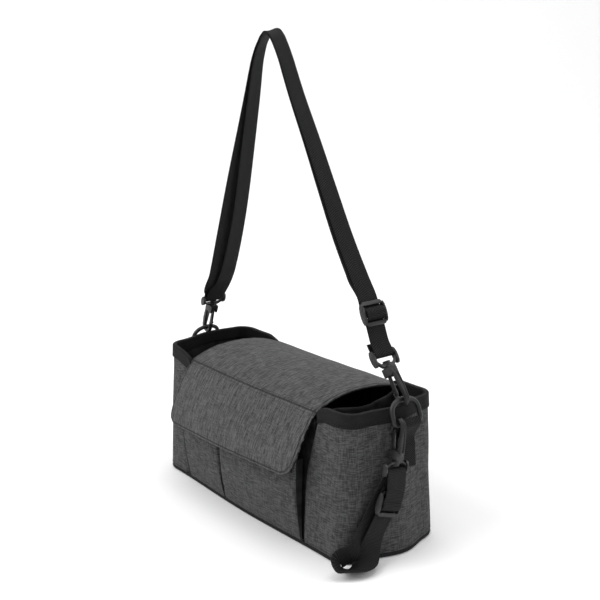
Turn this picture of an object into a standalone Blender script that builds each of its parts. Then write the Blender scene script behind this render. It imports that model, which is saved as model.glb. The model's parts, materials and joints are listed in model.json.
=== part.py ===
"""Stroller bag: padded cloth body with a flap, a pleated front pocket, two open end pockets,
a clip-on shoulder strap and two stroller straps that hang from the end rings.

Metres, +Z up. The origin is the middle of the base, on the floor. The long side runs along X,
the front faces -Y, and the right end is the one at +X.
"""
import math

import bmesh
import bpy
import numpy as np
from mathutils import Matrix, Vector

# Body of the bag
BAG_LENGTH = 0.352
BAG_DEPTH = 0.130
RIM_HEIGHT = 0.160
CORNER_RADIUS = 0.024
TOP_INSET = 0.005
END_BULGE = 0.0065
FRONT_BULGE = 0.004
BACK_BULGE = 0.002
BELLY = 0.3
FOOT_FORWARD = 0.0035
FOOT_CORNER = 0.0030

# Cloth and padding
GAP = 0.0004
WALL = 0.003
BASE_THICK = 0.005
PIPING_RADIUS = 0.0023
LINING = 0.001
TAPE = 0.001
TAPE_HEIGHT = 0.015
RIM_DIP = 0.009
RIM_DIP_LENGTH = 0.022

# Dividers and the front panels' edges
END_POCKET = 0.058
DIVIDER_X = BAG_LENGTH / 2 - END_POCKET
FOLD_X = {"right": DIVIDER_X - 0.0115, "left": DIVIDER_X + 0.0020}
EDGE_SWEEP = 0.020
EDGE_SWEEP_FROM = 0.060

# Front pocket
POCKET_TOP = RIM_HEIGHT - 0.063
POCKET_CLOTH = 0.0014
POCKET_BULGE = 0.0140
POCKET_SWELL = 2.2
PLEAT_X = -0.034
PLEAT_DEPTH = 0.0065
PLEAT_WIDTH = 0.0045
GUSSET = 0.0035

# Flap
FLAP_HALF_WIDTH = DIVIDER_X
FLAP_CROWN = RIM_HEIGHT + 0.0035
SEAM_Y = BAG_DEPTH / 2 - 0.006
SEAM_DROP = 0.013
BACK_DROP = 0.0095
ARCH_POWER = 2.26
BACK_TURN = 0.006
BACK_HEM_Z = RIM_HEIGHT - 0.024
FLAP_CLOTH = 0.0022
FLAP_REACH = 0.034
FLAP_BOTTOM = RIM_HEIGHT - 0.082
FLAP_SLANT = 0.007
HANG_POWER = 1.67
FLAP_CORNER = 0.020
SEAM_BOW = 0.0025

# Fastener tapes under the flap
FASTENER_X = 0.036
FASTENER_LENGTH = 0.044
FASTENER_HEIGHT = 0.012
FASTENER_Z = FLAP_BOTTOM + 0.012
FASTENER_THICK = 0.0013

# Webbing
WEBBING = 0.025
WEB_THICK = 0.0013
LAYER_GAP = 0.0004

# End rings and their tabs
RING_Y = 0.004
RING_WIDTH = 0.032
RING_WIRE = 0.0021
RING_CORNER = 0.0032
RING_STAND = 0.0100
RING_BAR_Z = RIM_HEIGHT - 0.015
RING_HEIGHT = 0.0242
RING_LEAN = 20.0
RING_SHOULDER = 0.42
RING_ROUND = 0.8
TAB_SHIFT = 0.0030
TAB_BOTTOM = RING_BAR_Z - 0.051
TAB_LEAVES = RING_BAR_Z - 0.019
TAB_REST = 0.0005
TAB_TURN = 195.0
TAB_TUCK = 0.0003
TAB_FALL = 0.0040

# Snap hooks
HOOK_RADIUS = 0.0062
HOOK_BAR = 0.0040
HOOK_WIDTH = 0.0046
HOOK_SHOULDER = 0.029
HOOK_TOP = 0.035
HOOK_BASE_HALF = 0.0068
HOOK_RECESS = 0.0045
HOOK_CROTCH = 0.0010
HOOK_BEVEL = 0.0007
STEM_RADIUS = 0.0020
STEM_HEAD = 0.0031
STEM_HEAD_TALL = 0.0014
STEM_SUNK = 0.0020
SLOT_WIDTH = 0.0036
SLOT_LEFT = 0.0060
SLOT_BELOW = 0.0040
SLOT_BEYOND = 0.0022
FORK_SWELL = 1.44
GATE_WIDTH = 0.0028
GATE_PIVOT = (-0.0047, 0.0262)
GATE_PIN = 0.0009
GATE_EYE = 0.0020
GATE_BEVEL = 0.0005
GATE_LEAF = 0.0004
GATE_NUB_LOW = 0.0100
GATE_NUB_HIGH = 0.0116
GATE_NUB_TALL = 0.0009
GATE_TIP = 0.0044
GATE_NUB = 0.0012
NOSE_TIP = 0.0074
HOOK_SEAT = 0.0010
RUN_CLEAR = 0.0003

# Webbing frames on the hooks
FRAME_HALF = 0.0163
FRAME_WINDOW_HALF = 0.0132
FRAME_BAR = 0.0036
FRAME_PLATE = 0.0035
FRAME_WINDOW = 0.0095
FRAME_THICK = 0.0040
FRAME_SHOULDER = 0.0045
FRAME_SIDE_FROM = 0.0085
FRAME_CORNER = 0.0015
FRAME_BEVEL = 0.0006

# Three-bar sliders
SLIDER_HALF = 0.0155
SLIDER_BAR = 0.0045
SLIDER_SLOT = 0.0065
SLIDER_MIDDLE = 0.0040
SLIDER_THICK = 0.0036
SLIDER_WINDOW_HALF = 0.0131
SLIDER_CORNER = 0.0040
SLIDER_BEVEL = 0.0007
CHEEK_DEPTH = 0.0072
CHEEK_SHARE = 0.92

# Shoulder strap: places are (share of half the bag's length, height over the ring bars,
# turn of the webbing about Z)
STRAP_TILT = {"right": 37.0, "left": 23.0}
LIMB_RIGHT = ((0.6506, 0.1330, 2), (0.5028, 0.1750, 5), (0.3636, 0.2210, 8), (0.2188, 0.2700, 11),
              (0.0710, 0.3180, 14), (-0.0369, 0.3570, 16), (-0.1023, 0.3755, 20))
APEX = (-0.1875, 0.3855, 26)
LIMB_LEFT = ((-0.2727, 0.3765, 31), (-0.3409, 0.3540, 28), (-0.4119, 0.3110, 21),
             (-0.5227, 0.2480, 17), (-0.6761, 0.1630, 15), (-0.8182, 0.0970, 8))
SLIDER_AT = (0.7727, 0.1030)
SLIDER_LEAN = 24.0
STRAP_TAIL = 0.014
FAN_LEFT = 0.011
FAN_RIGHT = -0.004
FAN_HEIGHT = RING_BAR_Z + 0.155
FAN_SPAN = 0.110

# Stroller strap, on the right end: places are (distance out from the end, distance back from the
# front, share of the ring bar's height, turn of the webbing about Z)
SWAY = 8.0
LEAN_OUT = 3.0
LOOP_SLIDER = (0.0145, 0.0425, 0.4414)
LOOP_SLIDER_LEAN = 20.0
LOOP_FRONT = ((0.0155, 0.0290, 0.2483, 0), (0.0152, 0.0185, 0.1379, 4),
              (0.0140, 0.0080, 0.0655, 14))
LOOP_TURN = ((0.0135, 0.0035, 0.0414, 26), (0.0095, -0.0015, 0.0290, 26),
             (0.0070, -0.0045, 0.0586, 10))
LOOP_BACK = ((0.0052, -0.0030, 0.1000, -3), (0.0032, 0.0020, 0.1586, -8),
             (0.0025, 0.0110, 0.2483, -8), (0.0048, 0.0220, 0.3448, -4),
             (0.0080, 0.0340, 0.4414, 0))

# Fineness
ARC_STEPS = 6
RING_SIDES = 8

# Colours
MELANGE = (0.095, 0.097, 0.100)
MELANGE_TOP = (0.150, 0.152, 0.155)
BLACK_CLOTH = (0.008, 0.008, 0.009)
BLACK_WEB = (0.018, 0.018, 0.019)
BLACK_PLASTIC = (0.035, 0.035, 0.036)
PIPING_GREY = (0.040, 0.040, 0.042)

HALF_LONG = BAG_LENGTH / 2 - CORNER_RADIUS
HALF_END = BAG_DEPTH / 2 - CORNER_RADIUS
QUARTER = CORNER_RADIUS * math.pi / 2
WALL_FOOT = 2 * PIPING_RADIUS + 2 * GAP
WALL_TOP = RIM_HEIGHT - TAPE - GAP
SIDES = {"right": 1.0, "left": -1.0}


# Scene and materials
def clear_scene():
    for thing in list(bpy.data.objects):
        bpy.data.objects.remove(thing, do_unlink=True)


def finish(name, colour, roughness, metallic=0.0):
    """A Principled material."""
    made = bpy.data.materials.new(name)
    made.use_nodes = True
    shader = made.node_tree.nodes["Principled BSDF"]
    shader.inputs["Base Color"].default_value = (*colour, 1.0)
    shader.inputs["Roughness"].default_value = roughness
    shader.inputs["Metallic"].default_value = metallic
    return made


def put(name, mesh, material, place=None, parent=None):
    """Link a mesh as a named object, set at a place given in world space."""
    if not mesh.materials:
        mesh.materials.append(material)
    thing = bpy.data.objects.new(name, mesh)
    bpy.context.collection.objects.link(thing)
    world = place or Matrix.Identity(4)
    if parent:
        thing.parent = parent
        thing.matrix_local = parent.matrix_basis.inverted() @ world
    else:
        thing.matrix_basis = world
    return thing


def pivot(name, spot):
    """An empty on a joint's axis, which its moving pieces hang from."""
    empty = bpy.data.objects.new(name, None)
    bpy.context.collection.objects.link(empty)
    empty.matrix_basis = Matrix.Translation(spot)
    return empty


def close(shape, name, sharp=40.0):
    """Turn a bmesh into a mesh whose faces point out, with round stretches shaded smooth."""
    bmesh.ops.recalc_face_normals(shape, faces=shape.faces)
    mesh = bpy.data.meshes.new(name)
    shape.to_mesh(mesh)
    shape.free()
    mesh.shade_smooth()
    mesh.set_sharp_from_angle(angle=math.radians(sharp))
    return mesh


# Closed solids from rows of points
def sheet(name, outer, inner):
    """A cloth panel: two grids of points of one layout, joined round their edges."""
    shape = bmesh.new()
    front = [[shape.verts.new(p) for p in row] for row in outer]
    back = [[shape.verts.new(p) for p in row] for row in inner]
    rows, columns = len(front), len(front[0])
    for i in range(rows - 1):
        for j in range(columns - 1):
            shape.faces.new((front[i][j], front[i][j + 1], front[i + 1][j + 1], front[i + 1][j]))
            shape.faces.new((back[i][j], back[i + 1][j], back[i + 1][j + 1], back[i][j + 1]))
    for i in range(rows - 1):
        for j in (0, columns - 1):
            shape.faces.new((front[i][j], front[i + 1][j], back[i + 1][j], back[i][j]))
    for j in range(columns - 1):
        for i in (0, rows - 1):
            shape.faces.new((front[i][j], front[i][j + 1], back[i][j + 1], back[i][j]))
    return close(shape, name)


def loft(name, sections, closed=False):
    """A solid through cross-sections that are closed loops of points."""
    shape = bmesh.new()
    loops = [[shape.verts.new(p) for p in section] for section in sections]
    count = len(loops[0])
    spans = list(zip(loops, loops[1:]))
    if closed:
        spans.append((loops[-1], loops[0]))
    for one, two in spans:
        for k in range(count):
            shape.faces.new((one[k], one[(k + 1) % count], two[(k + 1) % count], two[k]))
    if not closed:
        shape.faces.new(loops[0])
        shape.faces.new(loops[-1])
    return close(shape, name)


def tub(name, outer, inner):
    """An open-topped lining: outer and inner loops, each listed from the top down."""
    shape = bmesh.new()
    rings = [[shape.verts.new(p) for p in loop] for loop in [*outer, *reversed(inner)]]
    count = len(rings[0])
    middle = len(outer) - 1
    for index, (one, two) in enumerate(zip(rings, rings[1:])):
        if index == middle:
            continue
        for k in range(count):
            shape.faces.new((one[k], one[(k + 1) % count], two[(k + 1) % count], two[k]))
    for k in range(count):
        top, rim = rings[0], rings[-1]
        shape.faces.new((rim[k], rim[(k + 1) % count], top[(k + 1) % count], top[k]))
    shape.faces.new(rings[middle])
    shape.faces.new(rings[middle + 1])
    return close(shape, name)


def tube(name, path, radius, sides=RING_SIDES):
    """A round bar bent along a closed flat or gently bent path."""
    sections = []
    count = len(path)
    normal = None
    for i, point in enumerate(path):
        along = (path[(i + 1) % count] - path[i - 1]).normalized()
        if normal is None:
            normal = along.orthogonal().normalized()
        normal = (normal - along * normal.dot(along)).normalized()
        side = along.cross(normal)
        turns = [2 * math.pi * k / sides for k in range(sides)]
        sections.append([point + radius * (normal * math.cos(a) + side * math.sin(a)) for a in turns])
    return loft(name, sections, closed=True)


def webbing(name, path, across, width=WEBBING, thick=WEB_THICK):
    """A flat strap along a path, with the direction of its width at each point."""
    sections = []
    last = len(path) - 1
    for i, (point, wide) in enumerate(zip(path, across)):
        before = (path[i] - path[max(i - 1, 0)]).normalized()
        after = (path[min(i + 1, last)] - path[i]).normalized()
        along = (before + after).normalized()
        wide = (wide - along * wide.dot(along)).normalized()
        bend = after if i == 0 else before
        up = wide.cross(along) / max(along.dot(bend), 0.5)
        edge = wide * width / 2
        rise = up * thick / 2
        sections.append([point + edge + rise, point - edge + rise,
                         point - edge - rise, point + edge - rise])
    return loft(name, sections)


def moulded(name, outline, holes, thick, bevel):
    """A flat moulding in the XZ plane, with bevelled edges and holes through its thickness in Y."""
    curve = bpy.data.curves.new(name, "CURVE")
    curve.dimensions = "2D"
    curve.fill_mode = "BOTH"
    curve.extrude = thick / 2 - bevel
    curve.bevel_depth = bevel
    curve.bevel_resolution = 0
    curve.offset = -bevel
    for loop in [outline, *holes]:
        line = curve.splines.new("POLY")
        line.points.add(len(loop) - 1)
        for point, (x, z) in zip(line.points, loop):
            point.co = (x, z, 0.0, 1.0)
        line.use_cyclic_u = True
    guide = bpy.data.objects.new(name + "_outline", curve)
    bpy.context.collection.objects.link(guide)
    mesh = bpy.data.meshes.new_from_object(guide.evaluated_get(bpy.context.evaluated_depsgraph_get()))
    bpy.data.objects.remove(guide, do_unlink=True)
    shape = bmesh.new()
    shape.from_mesh(mesh)
    bpy.data.meshes.remove(mesh)
    bmesh.ops.remove_doubles(shape, verts=shape.verts, dist=1e-6)
    bmesh.ops.transform(shape, matrix=Matrix.Rotation(math.pi / 2, 4, "X"), verts=shape.verts)
    return close(shape, name, sharp=30.0)


def rod(name, radius, ends, spot, turn, sides=12):
    """A round pin along Z between two heights, turned and then set at a spot."""
    shape = bmesh.new()
    bmesh.ops.create_cone(shape, cap_ends=True, segments=sides, radius1=radius, radius2=radius,
                          depth=ends[1] - ends[0])
    middle = Matrix.Translation((0, 0, (ends[0] + ends[1]) / 2))
    bmesh.ops.transform(shape, matrix=Matrix.Translation(spot) @ turn @ middle, verts=shape.verts)
    return close(shape, name)


def block(name, low, high):
    """A plain box between two corners, used to cut with."""
    shape = bmesh.new()
    bmesh.ops.create_cube(shape, size=1.0)
    size = Vector(high) - Vector(low)
    centre = (Vector(high) + Vector(low)) / 2
    place = Matrix.Translation(centre) @ Matrix.Diagonal((*size, 1.0))
    bmesh.ops.transform(shape, matrix=place, verts=shape.verts)
    return close(shape, name)


def combined(name, mesh, steps):
    """Join or cut a mesh by other meshes in turn with exact Booleans."""
    for kind, other in steps:
        base = bpy.data.objects.new("base", mesh)
        tool = bpy.data.objects.new("tool", other)
        for thing in (base, tool):
            bpy.context.collection.objects.link(thing)
        tool.hide_render = True
        tool.display_type = "WIRE"
        change = base.modifiers.new(kind, "BOOLEAN")
        change.operation = kind
        change.solver = "EXACT"
        change.object = tool
        bpy.context.view_layer.update()
        seen = base.evaluated_get(bpy.context.evaluated_depsgraph_get())
        mesh = bpy.data.meshes.new_from_object(seen)
        for thing in (base, tool):
            bpy.data.objects.remove(thing, do_unlink=True)
    mesh.name = name
    mesh.shade_smooth()
    mesh.set_sharp_from_angle(angle=math.radians(30))
    return mesh


# The bag's outline
def plan(s):
    """Point, outward normal and bulge of the outline, s metres along it from mid front to +X."""
    swell = 0.0
    if s <= HALF_LONG:
        point, normal = Vector((s, -BAG_DEPTH / 2)), Vector((0, -1))
        swell = FRONT_BULGE * math.cos(math.pi / 2 * s / HALF_LONG) ** 2
    elif s <= HALF_LONG + QUARTER:
        turn = (s - HALF_LONG) / CORNER_RADIUS
        normal = Vector((math.sin(turn), -math.cos(turn)))
        point = Vector((HALF_LONG, -HALF_END)) + CORNER_RADIUS * normal
    elif s <= HALF_LONG + QUARTER + 2 * HALF_END:
        y = s - HALF_LONG - QUARTER - HALF_END
        point, normal = Vector((BAG_LENGTH / 2, y)), Vector((1, 0))
        swell = END_BULGE * math.cos(math.pi / 2 * y / HALF_END) ** 2
    elif s <= HALF_LONG + 2 * QUARTER + 2 * HALF_END:
        turn = (s - HALF_LONG - QUARTER - 2 * HALF_END) / CORNER_RADIUS
        normal = Vector((math.cos(turn), math.sin(turn)))
        point = Vector((HALF_LONG, HALF_END)) + CORNER_RADIUS * normal
    else:
        x = 2 * HALF_LONG + 2 * QUARTER + 2 * HALF_END - s
        point, normal = Vector((x, BAG_DEPTH / 2)), Vector((0, 1))
        swell = BACK_BULGE * math.cos(math.pi / 2 * x / HALF_LONG) ** 2
    return point, normal, swell


def on_bag(s, z, offset=0.0):
    """A point of the bag's surface, moved out by an offset."""
    point, normal, swell = plan(s)
    share = min(max(z / RIM_HEIGHT, 0.0), 1.0)
    out = offset + swell * (1 + BELLY * math.sin(math.pi * share)) - TOP_INSET * share
    out += FOOT_CORNER * (1 - share) * (2 * normal.x * normal.y) ** 2
    spot = point + normal * out
    front = (BAG_DEPTH / 2 - spot.y) / BAG_DEPTH
    return Vector((spot.x, spot.y - FOOT_FORWARD * (1 - share) * front, z))


def end_s(y):
    """Where the outline passes a given y on the right end."""
    return HALF_LONG + QUARTER + HALF_END + y


def back_s(x):
    """Where the outline passes a given x on the back."""
    return 2 * HALF_LONG + 2 * QUARTER + 2 * HALF_END - x


def spread(start, stop, steps):
    """Evenly spaced numbers, both ends included."""
    return [start + (stop - start) * i / steps for i in range(steps + 1)]


def mirrored(rows):
    """The same rows of points on the bag's other end."""
    return [[Vector((-p.x, p.y, p.z)) for p in row] for row in rows]


def on_side(side, rows):
    return rows if side == "right" else mirrored(rows)


def pocket_edge(side, z):
    """Distance from the middle of the end panel's front edge, which sweeps back near the top."""
    rise = max(0.0, z - EDGE_SWEEP_FROM) / (RIM_HEIGHT - EDGE_SWEEP_FROM)
    sweep = EDGE_SWEEP if side == "right" else EDGE_SWEEP - (FOLD_X["left"] - FOLD_X["right"])
    return FOLD_X[side] + sweep * rise ** 2


def rim_drop(s):
    """How far the end pocket's rim dips towards its front edge."""
    share = max(0.0, 1 - (s - DIVIDER_X) / RIM_DIP_LENGTH)
    return RIM_DIP * min(share, 1.0) ** 2


def end_columns(start, stop=DIVIDER_X + WALL):
    """Stations along an end pocket's wall, from its front edge round to the back seam."""
    corner = HALF_LONG + QUARTER
    far = corner + 2 * HALF_END
    return [*spread(start, HALF_LONG, 3), *spread(HALF_LONG, corner, ARC_STEPS)[1:],
            *spread(corner, far, 8)[1:], *spread(far, far + QUARTER, ARC_STEPS)[1:],
            *spread(far + QUARTER, back_s(stop), 2)[1:]]


# Cloth body
def base_panel(material):
    inset = -(2 * PIPING_RADIUS + 2 * GAP)
    loop = outline_loop(inset, 0.0)
    lid = outline_loop(inset, BASE_THICK)
    put("base_panel", loft("base_panel", [loop, lid]), material)


def outline_loop(offset, z):
    """The bag's whole outline at one height, counter-clockwise from mid front."""
    corner = HALF_LONG + QUARTER
    far = corner + 2 * HALF_END
    half = [*spread(0, HALF_LONG, 4), *spread(HALF_LONG, corner, 5)[1:],
            *spread(corner, far, 4)[1:], *spread(far, far + QUARTER, 5)[1:],
            *spread(far + QUARTER, back_s(0.0), 4)[1:]]
    right = [on_bag(s, 0.0, offset) for s in half]
    left = [Vector((-p.x, p.y, p.z)) for p in reversed(right[1:-1])]
    return [Vector((p.x, p.y, z)) for p in [*right, *left]]


def base_piping(material):
    path = outline_loop(-PIPING_RADIUS, PIPING_RADIUS + GAP)
    put("base_piping", tube("base_piping", path, PIPING_RADIUS, sides=6), material)


def end_panel(side, material):
    outer, inner = [], []
    for share in spread(0, 1, 5):
        out_row, in_row = [], []
        nominal = WALL_FOOT + share * (WALL_TOP - WALL_FOOT)
        for s in end_columns(pocket_edge(side, nominal)):
            z = WALL_FOOT + share * (WALL_TOP - rim_drop(s) - WALL_FOOT)
            out_row.append(on_bag(s, z))
            in_row.append(on_bag(s, z, -WALL))
        outer.append(out_row)
        inner.append(in_row)
    name = "end_panel_" + side
    put(name, sheet(name, on_side(side, outer), on_side(side, inner)), material)


def front_wall(material):
    """The main compartment's front, one layer behind the end panels' front edges."""
    layer = -(WALL + GAP)
    reach = DIVIDER_X - WALL / 2 - GAP
    top = flap_height(-SEAM_Y) - 3 * (FLAP_CLOTH + LINING)
    rows = spread(WALL_FOOT, top, 4)
    columns = spread(-reach, reach, 10)
    outer = [[front_point(x, z, layer) for x in columns] for z in rows]
    inner = [[front_point(x, z, layer - WALL) for x in columns] for z in rows]
    put("front_wall", sheet("front_wall", outer, inner), material)


def front_point(x, z, offset):
    spot = on_bag(abs(x), z, offset)
    return Vector((math.copysign(spot.x, x), spot.y, z))


def back_point(x, z, offset):
    spot = on_bag(back_s(abs(x)), z, offset)
    return Vector((math.copysign(spot.x, x), spot.y, z))


def back_wall(material):
    reach = DIVIDER_X + WALL - GAP
    rows = spread(WALL_FOOT, RIM_HEIGHT - BACK_DROP - BACK_TURN, 4)
    columns = spread(-reach, reach, 10)
    outer = [[back_point(x, z, 0.0) for x in columns] for z in rows]
    inner = [[back_point(x, z, -WALL) for x in columns] for z in rows]
    put("back_wall", sheet("back_wall", outer, inner), material)


def divider(side, material):
    """A padded wall whose top edge follows the arch of the flap."""
    under = FLAP_CLOTH + LINING + 3 * GAP
    rows_out, rows_in = [], []
    for share in spread(0, 1, 4):
        row_out, row_in = [], []
        for part in spread(0, 1, 10):
            low = WALL_FOOT
            front = on_bag(DIVIDER_X, RIM_HEIGHT * share, -(WALL + GAP)).y
            back = on_bag(back_s(DIVIDER_X), RIM_HEIGHT * share, -(WALL + GAP)).y
            y = front + part * (back - front)
            high = min(flap_height(y), WALL_TOP) - under * 1.25
            z = low + share * (high - low)
            row_out.append(Vector((DIVIDER_X + WALL / 2, y, z)))
            row_in.append(Vector((DIVIDER_X - WALL / 2, y, z)))
        rows_out.append(row_out)
        rows_in.append(row_in)
    name = "divider_" + side
    put(name, sheet(name, on_side(side, rows_out), on_side(side, rows_in)), material)


def main_lining(material):
    reach = DIVIDER_X - WALL / 2 - GAP
    top = POCKET_TOP + 0.4 * (RIM_HEIGHT - POCKET_TOP)
    levels = [top, (top + BASE_THICK) / 2, BASE_THICK + GAP]

    def loop(z, depth):
        layer_front = -(2 * WALL + 2 * GAP + depth)
        layer_back = -(WALL + GAP + depth)
        wide = reach - depth
        columns = spread(-wide + CORNER_RADIUS / 8, wide - CORNER_RADIUS / 8, 8)
        front = [front_point(x, z, layer_front) for x in columns]
        back = [back_point(x, z, layer_back) for x in reversed(columns)]
        corner = Vector((0, CORNER_RADIUS / 8, 0))
        right = [Vector((wide, front[-1].y, z)) + corner, Vector((wide, back[0].y, z)) - corner]
        left = [Vector((-wide, back[-1].y, z)) - corner, Vector((-wide, front[0].y, z)) + corner]
        return [*front, *right, *back, *left]

    outer = [loop(z, 0.0) for z in levels]
    inner = [loop(max(z, BASE_THICK + GAP + LINING), LINING) for z in levels]
    put("main_lining", tub("main_lining", outer, inner), material)


def pocket_lining(side, material):
    """Black lining of an end pocket, inside the end panel and against the divider."""
    flat = DIVIDER_X + WALL / 2 + GAP
    turn = LINING
    floor = BASE_THICK + GAP

    def loop(share, depth):
        wide = flat + turn + depth
        corner = HALF_LONG + QUARTER
        far = corner + 2 * HALF_END
        stations = [*spread(wide, HALF_LONG, 2), *spread(HALF_LONG, corner, ARC_STEPS)[1:],
                    *spread(corner, far, 8)[1:], *spread(far, far + QUARTER, ARC_STEPS)[1:],
                    *spread(far + QUARTER, back_s(wide), 2)[1:]]
        low = floor + (LINING if depth else 0.0)
        points = []
        for s in stations:
            top = WALL_TOP - rim_drop(s) - GAP
            z = low + share * (top - low)
            points.append(on_bag(s, z, -(WALL + GAP + depth)))
        straight = flat + depth
        top = WALL_TOP - RIM_DIP - GAP
        z = low + share * (top - low)
        points.append(Vector((straight, points[-1].y - turn, z)))
        points.append(Vector((straight, points[0].y + turn, z)))
        return points

    shares = (1.0, 0.5, 0.0)
    outer = [loop(share, 0.0) for share in shares]
    inner = [loop(share, LINING) for share in shares]
    name = "pocket_lining_" + side
    put(name, tub(name, on_side(side, outer), on_side(side, inner)), material)


def folded_tape(name, stations, place_at, top_at, straddle, side, material):
    """Tape folded over an edge: an upside-down U swept along the edge."""
    sections = []
    outside = GAP + TAPE
    inside = -(straddle + GAP + TAPE)
    for s in stations:
        top = top_at(s) + GAP + TAPE
        foot = top - TAPE_HEIGHT
        roof = top - TAPE
        profile = ((GAP, foot), (outside, foot), (outside, top - TAPE / 2), (outside - TAPE / 2, top),
                   (inside + TAPE / 2, top), (inside, top - TAPE / 2), (inside, foot),
                   (inside + TAPE, foot), (inside + TAPE, roof), (GAP, roof))
        sections.append([place_at(s, z, out) for out, z in profile])
    put(name, loft(name, on_side(side, sections)), material)


def rim_binding(side, material):
    start = pocket_edge(side, WALL_TOP)
    stop = DIVIDER_X + WALL / 2 + 2 * LINING + 3 * GAP
    folded_tape("rim_binding_" + side, end_columns(max(start, stop), stop), on_bag,
                lambda s: WALL_TOP - rim_drop(s), WALL + GAP + LINING, side, material)


# Front pocket
def pocket_path():
    """Stations (x, share of the bulge, how deep the pleat is) from the left gusset to the right."""
    left = -FOLD_X["left"] + GAP
    right = FOLD_X["right"] - GAP
    stations = [(left + 0.0005, 0.0), (left + 0.0010, 0.40), (left + 0.0022, 0.72)]
    stations += [(x, None) for x in spread(left + GUSSET + 0.002, PLEAT_X - PLEAT_WIDTH, 5)]
    stations += [(PLEAT_X - PLEAT_WIDTH / 3, None), (PLEAT_X, None), (PLEAT_X + PLEAT_WIDTH / 3, None)]
    stations += [(x, None) for x in spread(PLEAT_X + PLEAT_WIDTH, right - GUSSET - 0.002, 7)]
    stations += [(right - 0.0022, 0.72), (right - 0.0010, 0.40), (right - 0.0005, 0.0)]
    return stations


def pocket_out(x, share, z):
    """How far the front pocket stands out from the bag's front."""
    height = min(max((z - WALL_FOOT) / (POCKET_TOP - WALL_FOOT), 0.0), 1.0)
    full = POCKET_BULGE * (1 - (1 - height) ** POCKET_SWELL)
    if share is not None:
        return full * share
    left, right = (-FOLD_X["left"], PLEAT_X) if x < PLEAT_X else (PLEAT_X, FOLD_X["right"])
    belly = math.sin(math.pi * (x - left) / (right - left)) ** 0.5
    near = max(0.0, 1 - abs(x - PLEAT_X) / PLEAT_WIDTH)
    return full * (0.78 + 0.22 * belly) - PLEAT_DEPTH * near * height ** 0.5


def pocket_rows(z):
    """Plan points and outward normals of the front pocket's cloth at one height."""
    points = []
    for x, share in pocket_path():
        base = front_point(x, z, 0.0)
        points.append(Vector((x, base.y - pocket_out(x, share, z), z)))
    normals = []
    last = len(points) - 1
    for i in range(len(points)):
        along = points[min(i + 1, last)] - points[max(i - 1, 0)]
        normals.append(Vector((along.y, -along.x, 0)).normalized())
    return points, normals


def pocket_grid(depth, rows):
    grid = []
    for z in rows:
        points, normals = pocket_rows(z)
        grid.append([p + n * depth for p, n in zip(points, normals)])
    return grid


def front_pocket(material, tape):
    rows = spread(WALL_FOOT, POCKET_TOP, 8)
    shape = sheet("front_pocket_panel", pocket_grid(0.0, rows), pocket_grid(-POCKET_CLOTH, rows))
    put("front_pocket_panel", shape, material)

    def beside(index, z, out):
        points, normals = pocket_rows(min(z, POCKET_TOP))
        spot = points[index] + normals[index] * out
        return Vector((spot.x, spot.y, z))

    wide = range(3, len(pocket_path()) - 3)
    folded_tape("front_pocket_binding", wide, beside, lambda s: POCKET_TOP, POCKET_CLOTH,
                "right", tape)


# Flap
def flap_height(y):
    """Top surface of the flap over the main compartment."""
    drop, reach = (SEAM_DROP, SEAM_Y) if y < 0 else (BACK_DROP, BAG_DEPTH / 2 - TOP_INSET)
    return FLAP_CROWN - drop * (abs(y) / reach) ** ARCH_POWER


def seam_bow(x):
    return SEAM_BOW * math.cos(math.pi / 2 * x / FLAP_HALF_WIDTH) ** 2


def flap_profile_top(x):
    """Points in a plane across the bag, from the back hem over the top to the front seam."""
    back = back_point(x, BACK_HEM_Z, FLAP_CLOTH + LINING + 3 * GAP).y
    middle = flap_height(back - BACK_TURN) - BACK_TURN
    points = [(back, BACK_HEM_Z), (back, middle - 0.001)]
    for angle in (30, 60, 90):
        turn = math.radians(angle)
        points.append((back - BACK_TURN + BACK_TURN * math.cos(turn),
                       middle + BACK_TURN * math.sin(turn)))
    ys = spread(back - BACK_TURN, -SEAM_Y, 8)[1:]
    points += [(y - seam_bow(x) * max(0.0, -y / SEAM_Y) ** 2, flap_height(y)) for y in ys]
    return points


def flap_profile_front(x):
    """Points from the seam down to the bottom hem, which is rounded at its corners."""
    over = max(0.0, abs(x) - (FLAP_HALF_WIDTH - FLAP_CORNER))
    lift = FLAP_CORNER - math.sqrt(max(FLAP_CORNER ** 2 - over ** 2, 0.0))
    low = FLAP_BOTTOM + FLAP_SLANT * (x / FLAP_HALF_WIDTH + 1) / 2 + lift
    high = flap_height(-SEAM_Y)
    points = []
    for z in spread(high, low, 6):
        share = (z - FLAP_BOTTOM) / (high - FLAP_BOTTOM)
        points.append((-SEAM_Y - FLAP_REACH + FLAP_REACH * share ** HANG_POWER - seam_bow(x), z))
    return points


def lowered(profile, depth):
    """The same profile moved in by a depth, square to its own line."""
    moved = []
    last = len(profile) - 1
    for i, (y, z) in enumerate(profile):
        before, after = profile[max(i - 1, 0)], profile[min(i + 1, last)]
        along = Vector((after[0] - before[0], after[1] - before[1])).normalized()
        moved.append((y - along.y * depth, z + along.x * depth))
    return moved


def flap_columns():
    corner = FLAP_HALF_WIDTH - FLAP_CORNER
    side = [corner + FLAP_CORNER * math.sin(math.radians(a)) for a in (35, 65, 90)]
    return [-x for x in reversed(side)] + spread(-corner, corner, 6) + side


def flap_line(piece, x, depth):
    """One piece's line across the flap at a depth under its top surface."""
    top = flap_profile_top(x)
    line = lowered([*top, *flap_profile_front(x)[1:]], depth)
    if piece == "flap_top":
        return line[:len(top)]
    if piece == "flap_lining":
        return line
    line = line[len(top) - 1:]
    step = (Vector(line[1]) - Vector(line[0])).normalized() * GAP
    return [tuple(Vector(line[0]) + step), *line[1:]]


def flap_sheet(name, depths, material):
    grids = [[[Vector((x, y, z)) for y, z in flap_line(name, x, depth)] for x in flap_columns()]
             for depth in depths]
    put(name, sheet(name, grids[0], grids[1]), material)


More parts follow.
